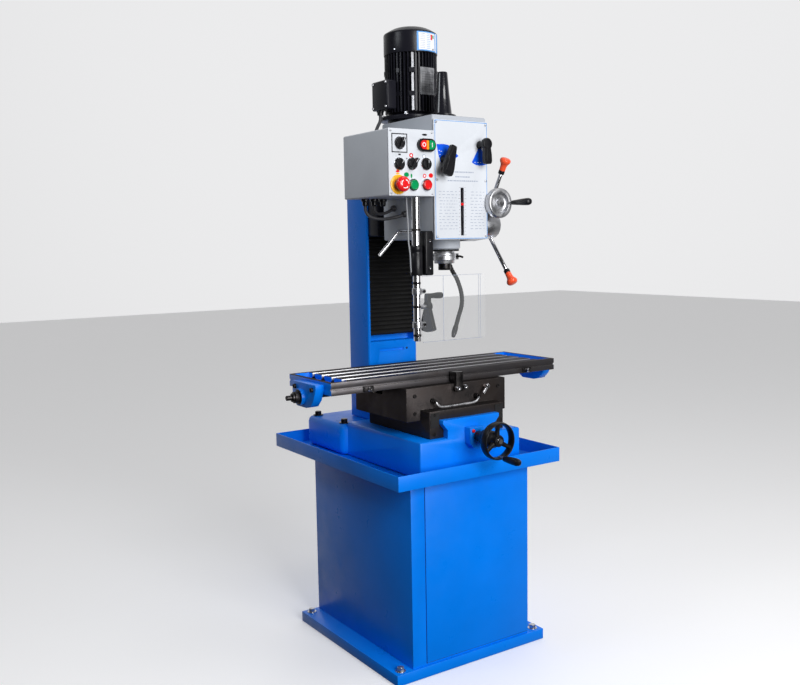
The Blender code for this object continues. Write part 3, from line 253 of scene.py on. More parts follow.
def machined_iron(name, colour, stretch, roughness=0.34):
    """Ground cast iron under oil: fine parallel lines, brown oil film and bright edges."""
    material, shader = new_material(name, colour, roughness, 0.85)
    shader.inputs["Specular Tint"].default_value = (0.22, 0.22, 0.23, 1)
    g = Graph(material, stretch)
    lines = g.noise(1.0, 2, 0.6)
    flat = Graph(material)
    oil = flat.ramp(flat.noise(7, 5, 0.62), [(0.38, 0.0), (0.66, 1.0)])
    base = flat.mix(oil, shade(colour, 1.15), (colour[0] * 0.8, colour[1] * 0.7, colour[2] * 0.62))
    base = flat.mix(flat.math("MULTIPLY", lines, 0.35), base, shade(colour, 1.7))
    edge = flat.math("MULTIPLY", flat.edges(0.0012), 0.55)
    flat.colour(flat.mix(edge, base, (0.5, 0.47, 0.44)))
    flat.roughness(flat.ramp(flat.math("ADD", oil, lines), [(0.3, roughness * 0.75),
        (1.3, roughness * 1.35)]))
    flat.bump(lines, 0.12, 0.0003)
    return material


def turned_metal(name, colour, roughness, lines=900, film=0.25):
    """Turned or ground bright metal, with a fine grain and a thin film of oil."""
    material = new_material(name, colour, roughness, 1.0)[0]
    g = Graph(material)
    fine = g.noise(lines, 2, 0.5)
    marks = g.ramp(g.noise(22, 5, 0.68), [(0.42, 0.0), (0.7, 1.0)])
    g.colour(g.mix(g.math("MULTIPLY", marks, film), colour, (0.36, 0.32, 0.27)))
    g.roughness(g.ramp(marks, [(0.0, roughness * 0.8), (1.0, roughness * 1.9)]))
    g.bump(fine, 0.006, 0.0002)
    return material


def plastic(name, colour, roughness, grain=1100, relief=0.12, coat=0.0):
    """Moulded plastic, with a fine spark grain, scuffs and lighter rubbed edges."""
    material, shader = new_material(name, colour, roughness)
    shader.inputs["Coat Weight"].default_value = coat
    shader.inputs["Specular IOR Level"].default_value = 0.3
    g = Graph(material)
    scuff = g.ramp(g.noise(38, 5, 0.7), [(0.52, 0.0), (0.74, 1.0)])
    base = g.mix(g.math("MULTIPLY", scuff, 0.3), colour, tuple(min(1, c * 1.3 + 0.02) for c in colour))
    edge = g.math("MULTIPLY", g.edges(0.0008), 0.22)
    g.colour(g.mix(edge, base, tuple(min(1, c * 1.4 + 0.08) for c in colour)))
    g.roughness(g.ramp(scuff, [(0.0, roughness), (1.0, min(1.0, roughness * 1.5))]))
    g.bump(g.noise(grain, 2, 0.5), relief, 0.0002)
    return material


BLUE_COLOUR = (0.0, 0.2, 0.86)
GREY_COLOUR = (0.46, 0.49, 0.54)


def table_material():
    """The table's ground iron, with blue enamel inside its end troughs and on its ends, and a painted
    highlight on the upper walls of its T-slots.
    """
    material = machined_iron("table_iron", (0.085, 0.082, 0.088), (14, 650, 650), 0.34)
    g = Graph(material)
    split = g.node("SeparateXYZ")
    g.feed(g.coords, split.inputs[0])
    x, y, z = split.outputs
    across = g.math("ABSOLUTE", x)
    off_middle = g.math("ABSOLUTE", g.math("ADD", y, 0.064))
    trough = g.product(g.above(across, 0.3415), g.below(across, 0.3906), g.below(z, 0.8436),
        g.below(off_middle, 0.1086))
    ends = g.product(g.above(across, 0.3997), g.below(z, 0.8425))
    blue = g.math("MAXIMUM", trough, ends)
    # The upper walls of the T-slots are given a light grey: a painted highlight along the slot edges.
    slot_edge_highlight = g.product(g.below(z, 0.8437), g.above(z, 0.833), g.below(off_middle, 0.108),
        g.below(across, 0.341))
    base, rough = g.shader.inputs["Base Color"], g.shader.inputs["Roughness"]
    # Mixes the painted slot-edge highlight into the iron colour.
    iron = g.mix(slot_edge_highlight, base.links[0].from_socket, (0.62, 0.62, 0.64))
    g.colour(g.mix(blue, iron, BLUE_COLOUR))
    g.roughness(g.mix(blue, rough.links[0].from_socket, (0.32, 0.32, 0.32)))
    g.feed(g.product(g.math("SUBTRACT", 1.0, blue), 0.85), g.shader.inputs["Metallic"])
    return material


def clear_material():
    material, shader = new_material("clear_polycarbonate", (0.93, 0.96, 0.98), 0.06)
    shader.inputs["Alpha"].default_value = 0.045
    shader.inputs["IOR"].default_value = 1.58
    g = Graph(material, (3, 3, 60))
    g.roughness(g.ramp(g.noise(8, 5, 0.7), [(0.35, 0.03), (0.75, 0.22)]))
    material.surface_render_method = "BLENDED"
    return material


M = {"sheet_blue": enamel("blue_sheet_enamel", BLUE_COLOUR, 0.32),
    "cast_blue": enamel("blue_casting_enamel", BLUE_COLOUR, 0.3, 260, 0.16, 0.45, 1.6),
    "grey": enamel("grey_casting_enamel", GREY_COLOUR, 0.34, 260, 0.16, 0.35, 1.3),
    "grey_sheet": enamel("grey_sheet_enamel", (0.56, 0.58, 0.62), 0.36),
    "white": enamel("white_panel_enamel", (0.68, 0.71, 0.76), 0.28, 500, 0.05, 0.1),
    "motor": enamel("black_motor_enamel", (0.01, 0.01, 0.015), 0.26, 300, 0.08, 0.25, 0.5),
    "table": table_material(),
    "iron": machined_iron("saddle_iron", (0.058, 0.052, 0.052), (300, 60, 500), 0.32),
    "steel": turned_metal("turned_steel", (0.6, 0.61, 0.64), 0.33),
    "chrome": turned_metal("chrome_plate", (0.8, 0.8, 0.83), 0.08, 300, 0.08),
    "dark_steel": turned_metal("blackened_steel", (0.035, 0.033, 0.035), 0.38, 700, 0.1),
    "black": plastic("black_moulding", (0.006, 0.006, 0.008), 0.34),
    "gloss": plastic("glossy_black_moulding", (0.01, 0.01, 0.014), 0.2, 900, 0.04, 0.5),
    "rubber": plastic("black_rubber", (0.012, 0.012, 0.012), 0.62, 500, 0.25),
    "orange": plastic("orange_moulding", (1.0, 0.105, 0.035), 0.24, 700, 0.04, 0.3),
    "red": plastic("red_moulding", (0.78, 0.012, 0.015), 0.24, 900, 0.04, 0.4),
    "green": plastic("green_moulding", (0.0, 0.3, 0.09), 0.24, 900, 0.04, 0.4),
    "yellow": plastic("yellow_moulding", (0.95, 0.5, 0.02), 0.3, 900, 0.05, 0.2),
    "amber": plastic("amber_lens", (0.95, 0.33, 0.02), 0.14, 300, 0.03, 0.6),
    "clear": clear_material(),
    "print_blue": enamel("blue_print", (0.0, 0.09, 0.75), 0.42, 500, 0.04, 0.0),
    "print_sky": enamel("sky_print", (0.12, 0.36, 0.78), 0.42, 500, 0.04, 0.0),
    "print_grey": enamel("grey_print", (0.36, 0.4, 0.5), 0.45, 500, 0.04, 0.0),
    "print_black": enamel("black_print", (0.015, 0.015, 0.02), 0.45, 500, 0.04, 0.0),
    "print_white": enamel("white_print", (0.86, 0.88, 0.92), 0.4, 500, 0.04, 0.0),
    "plate": turned_metal("aluminium_plate", (0.42, 0.43, 0.46), 0.34, 500, 0.2),
    "cable": plastic("cable_jacket", (0.05, 0.05, 0.055), 0.5, 400, 0.2),
    "grey_cable": plastic("grey_cable_jacket", (0.3, 0.31, 0.33), 0.5, 400, 0.2)}

# ---- mesh helpers -------------------------------------------------------------------------


class Pen:
    """Holds the mesh that is being drawn."""

    bm = bmesh.new()

    def take(self):
        """Hands over the mesh drawn so far and starts a new one."""
        drawn, self.bm = self.bm, bmesh.new()
        return drawn


pen = Pen()


def mm(*points):
    """Points given in millimetres, in metres."""
    return [tuple(value / 1000 for value in point) for point in points]


def polar(radius, degrees, centre=(0, 0)):
    """The point at a radius and an angle about a centre."""
    angle = math.radians(degrees)
    return (centre[0] + radius * math.cos(angle), centre[1] + radius * math.sin(angle))


def ring_of(matrix, radius, height, sides):
    made = []
    for side in range(sides):
        angle = 2 * math.pi * side / sides
        point = Vector((radius * math.cos(angle), radius * math.sin(angle), height))
        made.append(pen.bm.verts.new(matrix @ point))
    return made


def lathe(profile, centre=(0, 0, 0), axis="Z", sides=48, matrix=None, ring=False):
    """Turns (radius, height) pairs into a body: solid to the axis, or a ring with a hole."""
    if not ring:
        first, last = profile[0], profile[-1]
        profile = [(0, first[1])] * (first[0] > 0) + profile + [(0, last[1])] * (last[0] > 0)
    place = Matrix.Translation(centre) @ (matrix or AXES[axis])
    rings = []
    for radius, height in profile:
        if radius <= 0:
            rings.append([pen.bm.verts.new(place @ Vector((0, 0, height)))])
        else:
            rings.append(ring_of(place, radius, height, sides))
    pairs = list(zip(rings, rings[1:]))
    if ring:
        pairs.append((rings[-1], rings[0]))
    for a, b in pairs:
        for side in range(sides):
            after = (side + 1) % sides
            corners = [a[side % len(a)], a[after % len(a)], b[after % len(b)], b[side % len(b)]]
            unique = []
            for corner in corners:
                if corner not in unique:
                    unique.append(corner)
            if len(unique) > 2:
                pen.bm.faces.new(unique)


def prism(points, low, high, centre=(0, 0, 0), axis="Z", matrix=None):
    """A flat outline pushed from one height to another along the axis."""
    place = Matrix.Translation(centre) @ (matrix or AXES[axis])
    bottom = [pen.bm.verts.new(place @ Vector((x, y, low))) for x, y in points]
    top = [pen.bm.verts.new(place @ Vector((x, y, high))) for x, y in points]
    pen.bm.faces.new(bottom[::-1])
    pen.bm.faces.new(top)
    for a in range(len(points)):
        b = (a + 1) % len(points)
        pen.bm.faces.new((bottom[a], bottom[b], top[b], top[a]))


def brick(low, high, matrix=None):
    (x0, y0, z0), (x1, y1, z1) = low, high
    prism([(x0, y0), (x1, y0), (x1, y1), (x0, y1)], z0, z1, matrix=matrix)


def circle(radius, sides=32, centre=(0, 0), start=0.0, sweep=360.0):
    count = sides if sweep == 360.0 else sides + 1
    made = []
    for side in range(count):
        made.append(polar(radius, start + sweep * side / sides, centre))
    return made


def pipe(route, radius, sides=16, radii=None):
    """A round bar along a route, with flat ends and no twist."""
    points = [Vector(p) for p in route]
    across = None
    rings = []
    for index, point in enumerate(points):
        before = points[max(index - 1, 0)]
        after = points[min(index + 1, len(points) - 1)]
        ahead = (after - before).normalized()
        if across is None:
            across = ahead.orthogonal().normalized()
        across = (across - ahead * across.dot(ahead)).normalized()
        other = ahead.cross(across)
        size = radii[index] if radii else radius
        ring = [across * u + other * v for u, v in circle(size, sides)]
        rings.append([pen.bm.verts.new(point + offset) for offset in ring])
    for a, b in zip(rings, rings[1:]):
        for side in range(sides):
            after = (side + 1) % sides
            pen.bm.faces.new((a[side], a[after], b[after], b[side]))
    pen.bm.faces.new(rings[0][::-1])
    pen.bm.faces.new(rings[-1])


def smooth_route(points, steps):
    """Points along a Catmull-Rom curve through the given ones."""
    ends = [2 * Vector(points[0]) - Vector(points[1])]
    ends += [Vector(p) for p in points]
    ends += [2 * Vector(points[-1]) - Vector(points[-2])]
    made = []
    for a, b, c, d in zip(ends, ends[1:], ends[2:], ends[3:]):
        for step in range(steps):
            t = step / steps
            made.append(0.5 * (2 * b + (c - a) * t + (2 * a - 5 * b + 4 * c - d) * t**2 + (
                3 * b - a - 3 * c + d) * t**3))
    return made + [ends[-2]]


def toward(direction):
    return Vector(direction).normalized().to_track_quat("Z", "Y").to_matrix().to_4x4()


def piece(name, body, look, replaces=(), round_by=0.0, steps=2, angle=35):
    """Makes what the pen has drawn a piece of the object that rides on a body."""
    bm = pen.take()
    bmesh.ops.recalc_face_normals(bm, faces=bm.faces[:])
    mesh = bpy.data.meshes.new(name)
    bm.to_mesh(mesh)
    bm.free()
    mesh.shade_smooth()
    mesh.set_sharp_from_angle(angle=math.radians(angle))
    made = bpy.data.objects.new(name, mesh)
    bpy.context.scene.collection.objects.link(made)
    mesh.materials.append(M[look])
    if round_by:
        bevel = made.modifiers.new("rounded_edges", "BEVEL")
        bevel.width, bevel.segments = round_by, steps
        bevel.limit_method, bevel.angle_limit = "ANGLE", math.radians(30)
        bevel.harden_normals = True
    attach(made, body)
    if replaces:
        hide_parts(*replaces)
    return made


def screw_head(centre, axis, radius=0.0035, height=0.0022, kind="pan"):
    """A domed or cap screw head with its recess."""
    if kind == "cap":
        profile = [(radius * 0.45, height * 0.35), (radius * 0.5, height * 0.95),
            (radius * 0.92, height), (radius, height * 0.85), (radius, 0)]
    else:
        profile = [(0, height * 0.55), (radius * 0.22, height * 0.58), (radius * 0.3, height * 0.98),
            (radius * 0.62, height * 0.85), (radius * 0.92, height * 0.42), (radius, 0)]
    lathe(profile, centre, axis, 20)


def hexagon(centre, across, height):
    """A hexagon head with a chamfered top on a washer."""
    lathe([(0, 0.0018), (across * 0.8, 0.0016), (across * 0.82, 0.0)], centre, sides=28)
    prism(circle(across / 2 / math.cos(math.pi / 6), 6), 0.0015, height, centre)
    top, step = height + 0.0008, height - 0.0004
    lathe([(across * 0.42, top), (across * 0.47, step)], centre, sides=24)


def screws(xs, y, zs, radius, height, kind="pan"):
    """Screw heads in rows and columns on a face that looks towards -Y."""
    for x in xs:
        for z in zs:
            screw_head((x, y, z), "-Y", radius, height, kind)


# ---- CAD nodes that keep their shape ------------------------------------------------------


def dress(node, look, round_by):
    """Gives a CAD node its finish, and rounds its edges with modifiers only."""
    item = NODES[node]
    item.data.materials.clear()
    item.data.materials.append(M[look])
    for polygon in item.data.polygons:
        polygon.use_smooth = True
        polygon.material_index = 0
    weld = item.modifiers.new("weld", "WELD")
    weld.merge_threshold = 0.00002
    flat = item.modifiers.new("planar", "DECIMATE")
    flat.decimate_type = "DISSOLVE"
    flat.angle_limit = math.radians(0.4)
    if round_by:
        bevel = item.modifiers.new("rounded_edges", "BEVEL")
        bevel.width, bevel.segments = round_by, 2
        bevel.limit_method, bevel.angle_limit = "ANGLE", math.radians(33)
        bevel.harden_normals = False
    split = item.modifiers.new("sharp_edges", "EDGE_SPLIT")
    split.split_angle = math.radians(38)


KEPT = (("base_plate", "sheet_blue", 0.002), ("stand_cabinet", "sheet_blue", 0.0022),
    ("front_panel", "sheet_blue", 0.001), ("chip_tray", "sheet_blue", 0.0009),
    ("machine_base", "cast_blue", 0.002), ("column", "cast_blue", 0.0012),
    ("column_cap", "sheet_blue", 0.0012), ("crank_bracket", "cast_blue", 0.001),
    ("left_end_bracket", "cast_blue", 0.0018), ("right_end_bracket", "cast_blue", 0.0018),
    ("head_slide", "motor", 0.0012), ("head_housing", "grey", 0.0015), ("feed_case", "steel", 0.0018),
    ("control_box", "grey_sheet", 0.001), ("front_plate", "white", 0.0006),
    ("control_panel", "white", 0.0006), ("saddle", "iron", 0.001), ("table", "table", 0.0007),
    ("stop_block", "dark_steel", 0.0006), ("z_screw", "steel", 0.0), ("y_screw", "steel", 0.0),
    ("x_screw", "dark_steel", 0.0004), ("motor_pinion", "steel", 0.0003),
    ("idler_gear", "steel", 0.0003), ("spindle_gear", "steel", 0.0003),
    ("left_table_stop", "dark_steel", 0.0006), ("right_table_stop", "dark_steel", 0.0006),
    ("terminal_box", "motor", 0.0018), ("guard_bracket", "black", 0.0012))

make_camera()
make_studio()
for kept_node, kept_look, kept_round in KEPT:
    dress(kept_node, kept_look, kept_round)

# ---- stand, base and column ---------------------------------------------------------------


def make_stand_details():
    for x in (-0.243, 0.243):
        for y in (-0.256, 0.256):
            hexagon((x, y, 0.0321), 0.018, 0.011)
    piece("anchor_bolts", "frame", "steel", round_by=0.0003)
    for x in (-0.172, 0.172):
        for y in (0.142, 0.308):
            hexagon((x, y, 0.6602), 0.02, 0.012)
    piece("foundation_bolts", "frame", "dark_steel", round_by=0.0003)
    for x in (-0.068, 0.068):
        for z in (0.7, 0.76):
            screw_head((x, 0.2362, z), "Y", 0.006, 0.005, "cap")
    piece("column_rear_screws", "frame", "dark_steel")
    screw_head((0.052, 0.1207, 0.878), "-Y", 0.0035, 0.002)
    for x in (-0.075, 0.075):
        for y in (0.133, 0.224):
            screw_head((x, y, 1.5342), "Z", 0.0045, 0.003, "cap")
    piece("column_screws", "frame", "dark_steel")
    lathe(mm((0, 3), (1.4, 3.4), (2.2, 2.6), (4.6, 2.2), (5.2, 0)), (-0.014, -0.3002, 0.685), "-Y", 24)
    piece("screw_oiler", "frame", "red")
    mirrored = Matrix(((1, 0, 0, 0), (0, 0, 1, 0), (0, 1, 0, 0), (0, 0, 0, 1)))
    seam = [(-0.1655, 0.038), (0.2076, 0.038), (0.2076, 0.557), (-0.1655, 0.557)]
    inner = [(-0.164, 0.0395), (0.2061, 0.0395), (0.2061, 0.5555), (-0.164, 0.5555)]
    for a in range(4):
        b = (a + 1) % 4
        corners = [seam[a], seam[b], inner[b], inner[a]]
        prism(corners, -0.2724, -0.2722, matrix=mirrored)
    piece("panel_gasket", "frame", "rubber")
    drain = mm((0, 1.2), (4, 1.4), (12, 2), (18, 1.6), (19.5, 0))
    lathe(drain, (0.24, 0.33, 0.5634), "Z", 32)
    for turn in range(6):
        hole = (*polar(0.009, 60 * turn, (0.24, 0.33)), 0.5634)
        lathe(mm((0, 2.6), (1.8, 2.4), (2, 1.5)), hole, "Z", 12)
    piece("tray_strainer", "frame", "steel")


def make_way_cover():
    """The pleated cover from its foot on the column up to the head slide, drawn in its rest shape."""
    bottom, top, pleats = 0.925, 1.2295, 23
    front, back, thick, half = 0.1225, 0.1305, 0.004, 0.0815
    pitch = (top - bottom) / pleats
    face = []
    for pleat in range(pleats):
        face.append((back, bottom + pleat * pitch))
        face.append((front, bottom + (pleat + 0.5) * pitch))
    face.append((back, top))
    rear = [(y + thick, z) for y, z in reversed(face)]
    prism(face + rear, -half, half, axis="X")
    bm = pen.take()
    bmesh.ops.recalc_face_normals(bm, faces=bm.faces[:])
    mesh = bpy.data.meshes.new("way_cover")
    bm.to_mesh(mesh)
    bm.free()
    mesh.materials.append(M["rubber"])
    cover = bpy.data.objects.new("way_cover", mesh)
    bpy.context.scene.collection.objects.link(cover)
    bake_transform(cover)
    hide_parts("bellows")


def make_handwheel():
    """The saddle's dished handwheel with three webs and a turning grip."""
    centre = (0, -0.388, 0.67)
    round_section = [polar(1, turn) for turn in range(90, -270, -24)]
    rim = [(0.045 + 0.004 * (1 + across), 0.013 * along) for across, along in round_section]
    lathe(rim, centre, "Y", 64, ring=True)
    hub = mm((8.1, 85), (14.2, 85), (15, 83), (15, 62), (22.5, 56), (24, 52), (24, 20), (22, 14),
        (17.5, 10), (16.5, -6), (15, -8.5), (8.1, -8.5))
    lathe(hub, centre, "Y", 48, ring=True)
    for spoke in range(3):
        x, z = polar(1, 90 + 120 * spoke)
        out = Vector((x, 0, z))
        route = [Vector(centre) + out * r + Vector((0, y, 0)) for r, y in ((0.014, 0.003),
            (0.024, 0.002), (0.036, -0.001), (0.0475, -0.002))]
        pipe(route, 0.006, 14, [0.0078, 0.0066, 0.0058, 0.0064])
    piece("saddle_handwheel", "y_feed", "black", ("y_handwheel",), 0.0006)
    base = (0.008, -0.388, 0.6225)
    grip = mm((0, -82), (5, -81.5), (8.5, -78), (10.4, -70), (10.5, -58), (9.4, -40), (8.2, -26),
        (7.6, -19), (6, -17.2))
    lathe(grip, base, "Y", 32)
    piece("handwheel_grip", "y_feed", "black")
    lathe(mm((4.8, -17), (4.8, 4)), base, "Y", 20)
    lathe(mm((6.6, -14), (7, -11.8), (7.4, -8)), (0, -0.388, 0.67), "Y", 24)
    piece("handwheel_pin", "y_feed", "steel")


def make_lift_crank():
    """The crank with its counterweight fan, shaft and turning grip."""
    centre = Vector((0.158, 0.151, 1.003))
    weight = [(-0.0125, -0.004), (-0.037, -0.068)] + circle(0.084, 16, (0, 0), 243,
        54) + [(0.037, -0.068), (0.0125, -0.004)]
    prism(weight, -0.0055, 0.0055, centre, "X")
    outer, inner = circle(0.084, 16, (0, 0), 243, 54), circle(0.074, 16, (0, 0), 244, 52)
    prism(outer + inner[::-1], -0.008, 0.008, centre, "X")
    for side in (-1, 1):
        rib = [(side * 0.0125, -0.004), (side * 0.0385, -0.074), (side * 0.033, -0.076),
            (side * 0.0065, -0.006)]
        prism(rib, -0.0075, 0.0075, centre, "X")
    arm = [(-0.01, 0.0), (-0.0085, 0.034)] + circle(0.0085, 12, (0, 0.034), 180, -180)[1:] + [(0.01, 0.0)]
    prism(arm, -0.008, 0.008, centre, "X")
    lathe(mm((0, 11.5), (12, 11), (16, 8.5), (16.5, -8)), centre, "X", 36)
    piece("crank_casting", "lift_crank", "black", ("lift_crank",), 0.0016)
    lathe(mm((7.5, 66), (7.5, -66)), (0.092, 0.151, 1.003), "X", 28)
    cone = mm((15, 6), (11, -6))
    lathe(cone, (0.0245, 0.151, 1.003), "X", 36)
    lathe(mm((5, 18), (5, -4)), centre + Vector((0, 0, 0.034)), "X", 20)
    piece("crank_shaft", "lift_crank", "steel")
    grip = mm((0, 60), (6.2, 59.5), (9.6, 56.5), (10.5, 50), (10.3, 38), (9.2, 26), (8.4, 15), (8, 10.5),
        (6, 9.8))
    lathe(grip, centre + Vector((0, 0, 0.034)), "X", 32)
    piece("crank_grip", "lift_crank", "black")


# ---- saddle and table ---------------------------------------------------------------------


def make_saddle_details():
    face, apron, block = -0.2102, -0.2552, -0.2225  # y of the saddle, its apron and the stop block
    for x in (-0.0115, 0.0225):
        lathe(mm((0, 10), (3, 10.2), (3.6, 12.8), (6.2, 12.4), (7.6, 10), (7.6, 0)),
            (x, block if x < 0 else face, 0.7955), "-Y", 28)
    piece("stop_screws", "saddle", "chrome")
    ends = ((-0.089, 0.766), (0.066, 0.765))
    for x, z in ends:
        lathe(mm((0, 6), (7.5, 5.5), (8.5, 0)), (x, face, z), "-Y", 28)
        prism(circle(0.0068, 6), 0.0055, 0.013, (x, face, z), "-Y")
        lathe(mm((0, 20), (4.2, 19.5), (5, 12)), (x, face, z), "-Y", 20)
    piece("oil_unions", "saddle", "dark_steel", round_by=0.0003)
    route = mm((-89, -226.2, 766), (-84, -228.5, 757), (-70, -229, 749.5), (-30, -229, 748.5),
        (10, -229, 749), (44, -229, 750), (58, -228.5, 756), (66, -226.2, 765))
    pipe(smooth_route(route, 6), 0.0038, 14)
    piece("oil_pipe", "saddle", "steel", round_by=0.0003)
    screws((-0.15, 0.15), face, (0.736, 0.786), 0.0055, 0.0035, "cap")
    screws((-0.115, 0.115), apron, (0.68, 0.735), 0.0045, 0.003, "cap")
    piece("saddle_screws", "saddle", "dark_steel")
    for side in (-1, 1):
        wiper = [(0.1005, 0.7), (0.129, 0.7), (0.129, 0.741), (0.1005, 0.741)]
        outline = [(side * x, z) for x, z in wiper]
        prism(outline, -apron, -apron + 0.0023, axis="-Y")
    piece("way_wipers", "saddle", "rubber", round_by=0.0005)
    x, y, z = 0.1, -0.2103, 0.792
    lathe(mm((0, 18.5), (5, 18), (7, 15), (7.2, 3), (6, 0)), (x, y, z), "-Y", 28)
    route = [(x, y - 0.013, z), (x - 0.008, y - 0.0145, z - 0.008), (x - 0.0205, y - 0.0185, z - 0.0195)]
    pipe(smooth_route(route, 5), 0.0045, 16, [0.004 + 0.0008 * k / 10 for k in range(11)])
    piece("saddle_clamp_lever", "saddle_lock", "chrome", ("saddle_lock_lever",), 0.0006)


def make_table_details():
    screws((-0.285, 0.285), -0.1905, (0.8185,), 0.0062, 0.0072, "cap")
    piece("table_stop_screws", "table", "chrome")
    for side in (-1, 1):
        for y in (-0.128, -0.03):
            x = side * 0.4262
            lathe([(0.003, side * 0.002), (0.0035, side * 0.006), (0.0062, side * 0.006), (0.0066, 0.0)],
                (x, y, 0.822), "X", 20)
    piece("end_bracket_screws", "table", "dark_steel")
    for side in (-1, 1):
        lathe([(0.0125, side * 0.4368), (0.0205, side * 0.4366), (0.0218, side * 0.435),
            (0.0218, side * 0.4345), (0.0125, side * 0.4345)], (0, -0.064, 0.796), "X", 40, ring=True)
    piece("screw_bearing_rings", "table", "dark_steel")


# ---- head ---------------------------------------------------------------------------------


def on_front(centre, ahead=0.0):
    """The place of an (x, z) point on the head's front faces, or a little ahead of them."""
    return (centre[0], FACE - ahead, centre[1])


def raised(points, low, high):
    """A flat shape of (x, z) points that stands on the head's front faces."""
    prism(points, low - FACE, high - FACE, axis="-Y")


def on_face(points, thickness=0.0002):
    """A thin printed patch on the head's front faces."""
    raised(points, 0.00005, 0.00005 + thickness)


def rect(x0, z0, x1, z1):
    return [(x0, z0), (x1, z0), (x1, z1), (x0, z1)]


def make_front_plate_details():
    x, low, high, wide = 0.0905, 1.2195, 1.5405, 0.0016
    for border in ((-x, low, x, low + wide), (-x, high - wide, x, high),
        (-x, low + wide, -x + wide, high - wide), (x - wide, low + wide, x, high - wide)):
        on_face(rect(*border))
    piece("plate_border", "head", "print_sky")
    fan = [(-0.01, 1.446), (-0.024, 1.457)]
    fan += [(-0.045, 1.4745), (-0.06, 1.4765), (-0.0845, 1.4752), (-0.0795, 1.45), (-0.072, 1.427),
        (-0.028, 1.435)]
    on_face(fan)
    fan = [(0.066, 1.478)] + circle(0.056, 12, (0.066, 1.478), 238, 60)
    on_face(fan)
    piece("selector_sectors", "head", "print_blue")
    on_face(rect(-0.078, 1.458, -0.074, 1.4595), 0.0003)
    for k in range(3):
        on_face(rect(0.046 + 0.01 * k, 1.43, 0.05 + 0.01 * k, 1.4315), 0.0003)
        on_face(rect(-0.079 + 0.004 * k, 1.438 + 0.009 * k, -0.075 + 0.004 * k, 1.4392 + 0.009 * k),
            0.0003)
    piece("sector_marks", "head", "print_white")
    for z, x0, x1 in ((1.401, -0.03, 0.044), (1.388, -0.022, 0.03), (1.377, -0.048, 0.058)):
        start = x0
        while start < x1:
            run = random.uniform(0.003, 0.008)
            on_face(rect(start, z, min(start + run, x1), z + 0.003))
            start += run + 0.0018
    for row in range(13):
        z = 1.348 - row * 0.0085
        for x0, x1 in ((-0.08, -0.016), (0.03, 0.08)):
            start = x0 + random.uniform(0, 0.004)
            while start < x1:
                run = random.uniform(0.004, 0.011)
                on_face(rect(start, z, min(start + run, x1), z + 0.0014))
                start += run + random.uniform(0.003, 0.009)
    piece("plate_print", "head", "print_grey")
    for tick in range(14):
        z = 1.23 + tick * 0.01
        long = 0.006 if tick % 5 == 0 else 0.0035
        on_face(rect(0.01, z - 0.0003, 0.01 + long, z + 0.0003))
        on_face(rect(-0.0062 - long, z - 0.0003, -0.0062, z + 0.0003))
    piece("depth_scale", "head", "print_black")
    screws((-0.0855, 0.0855), FACE - 0.0001, (1.2255, 1.38, 1.535), 0.0038, 0.0024)
    piece("plate_screws", "head", "steel")
    brick((-0.0024, -0.2395, 1.311), (0.0064, -0.215, 1.318))
    piece("depth_pointer", "head", "red", round_by=0.0005)


def make_selector_handle(name, selector, centre, turn, top, bottom, boss, wide=1.0):
    """A tapered selector handle with a raised spine, on a round boss."""
    spin = Matrix.Rotation(math.radians(turn), 4, "Y")
    place = Matrix.Translation(on_front(centre, 0.028)) @ spin @ AXES["-Y"]
    shape = [(-0.01, top), (-0.0135, top * 0.3), (-0.019, -bottom * 0.55), (-0.019, -bottom + 0.008),
        (-0.016, -bottom + 0.002), (-0.011, -bottom), (0.011, -bottom), (0.016, -bottom + 0.002),
        (0.019, -bottom + 0.008), (0.019, -bottom * 0.55), (0.0135, top * 0.3), (0.01, top),
        (0.006, top + 0.002), (-0.006, top + 0.002)]
    shape = [(across * wide, along) for across, along in shape]
    prism(shape, -0.0015, 0.009, matrix=place)
    spine = [(-0.004, top - 0.004), (-0.0095 * wide, -bottom + 0.01), (0.0095 * wide, -bottom + 0.01),
        (0.004, top - 0.004)]
    prism(spine, 0.008, 0.0104, matrix=place)
    lathe([(0, 0.0388), (boss * 0.86, 0.0384), (boss, 0.0362), (boss, 0.0272), (boss * 0.86, 0.0255),
        (0.0088, 0.0245), (0.0084, 0.01), (0.011, 0.004), (0.011, 0.0004)], on_front(centre), "-Y", 48)
    lathe(mm((6.2, 1), (6.2, -18)), on_front(centre), "-Y", 24)
    piece(name, selector, "black", (selector,), 0.0022, 3)


def upright(radius, degrees):
    """The place at a radius and an angle about the motor's axis, turned to face outwards."""
    turn = Matrix.Rotation(math.radians(degrees), 4, "Z")
    return Matrix.Translation((*polar(radius, degrees), 0)) @ turn


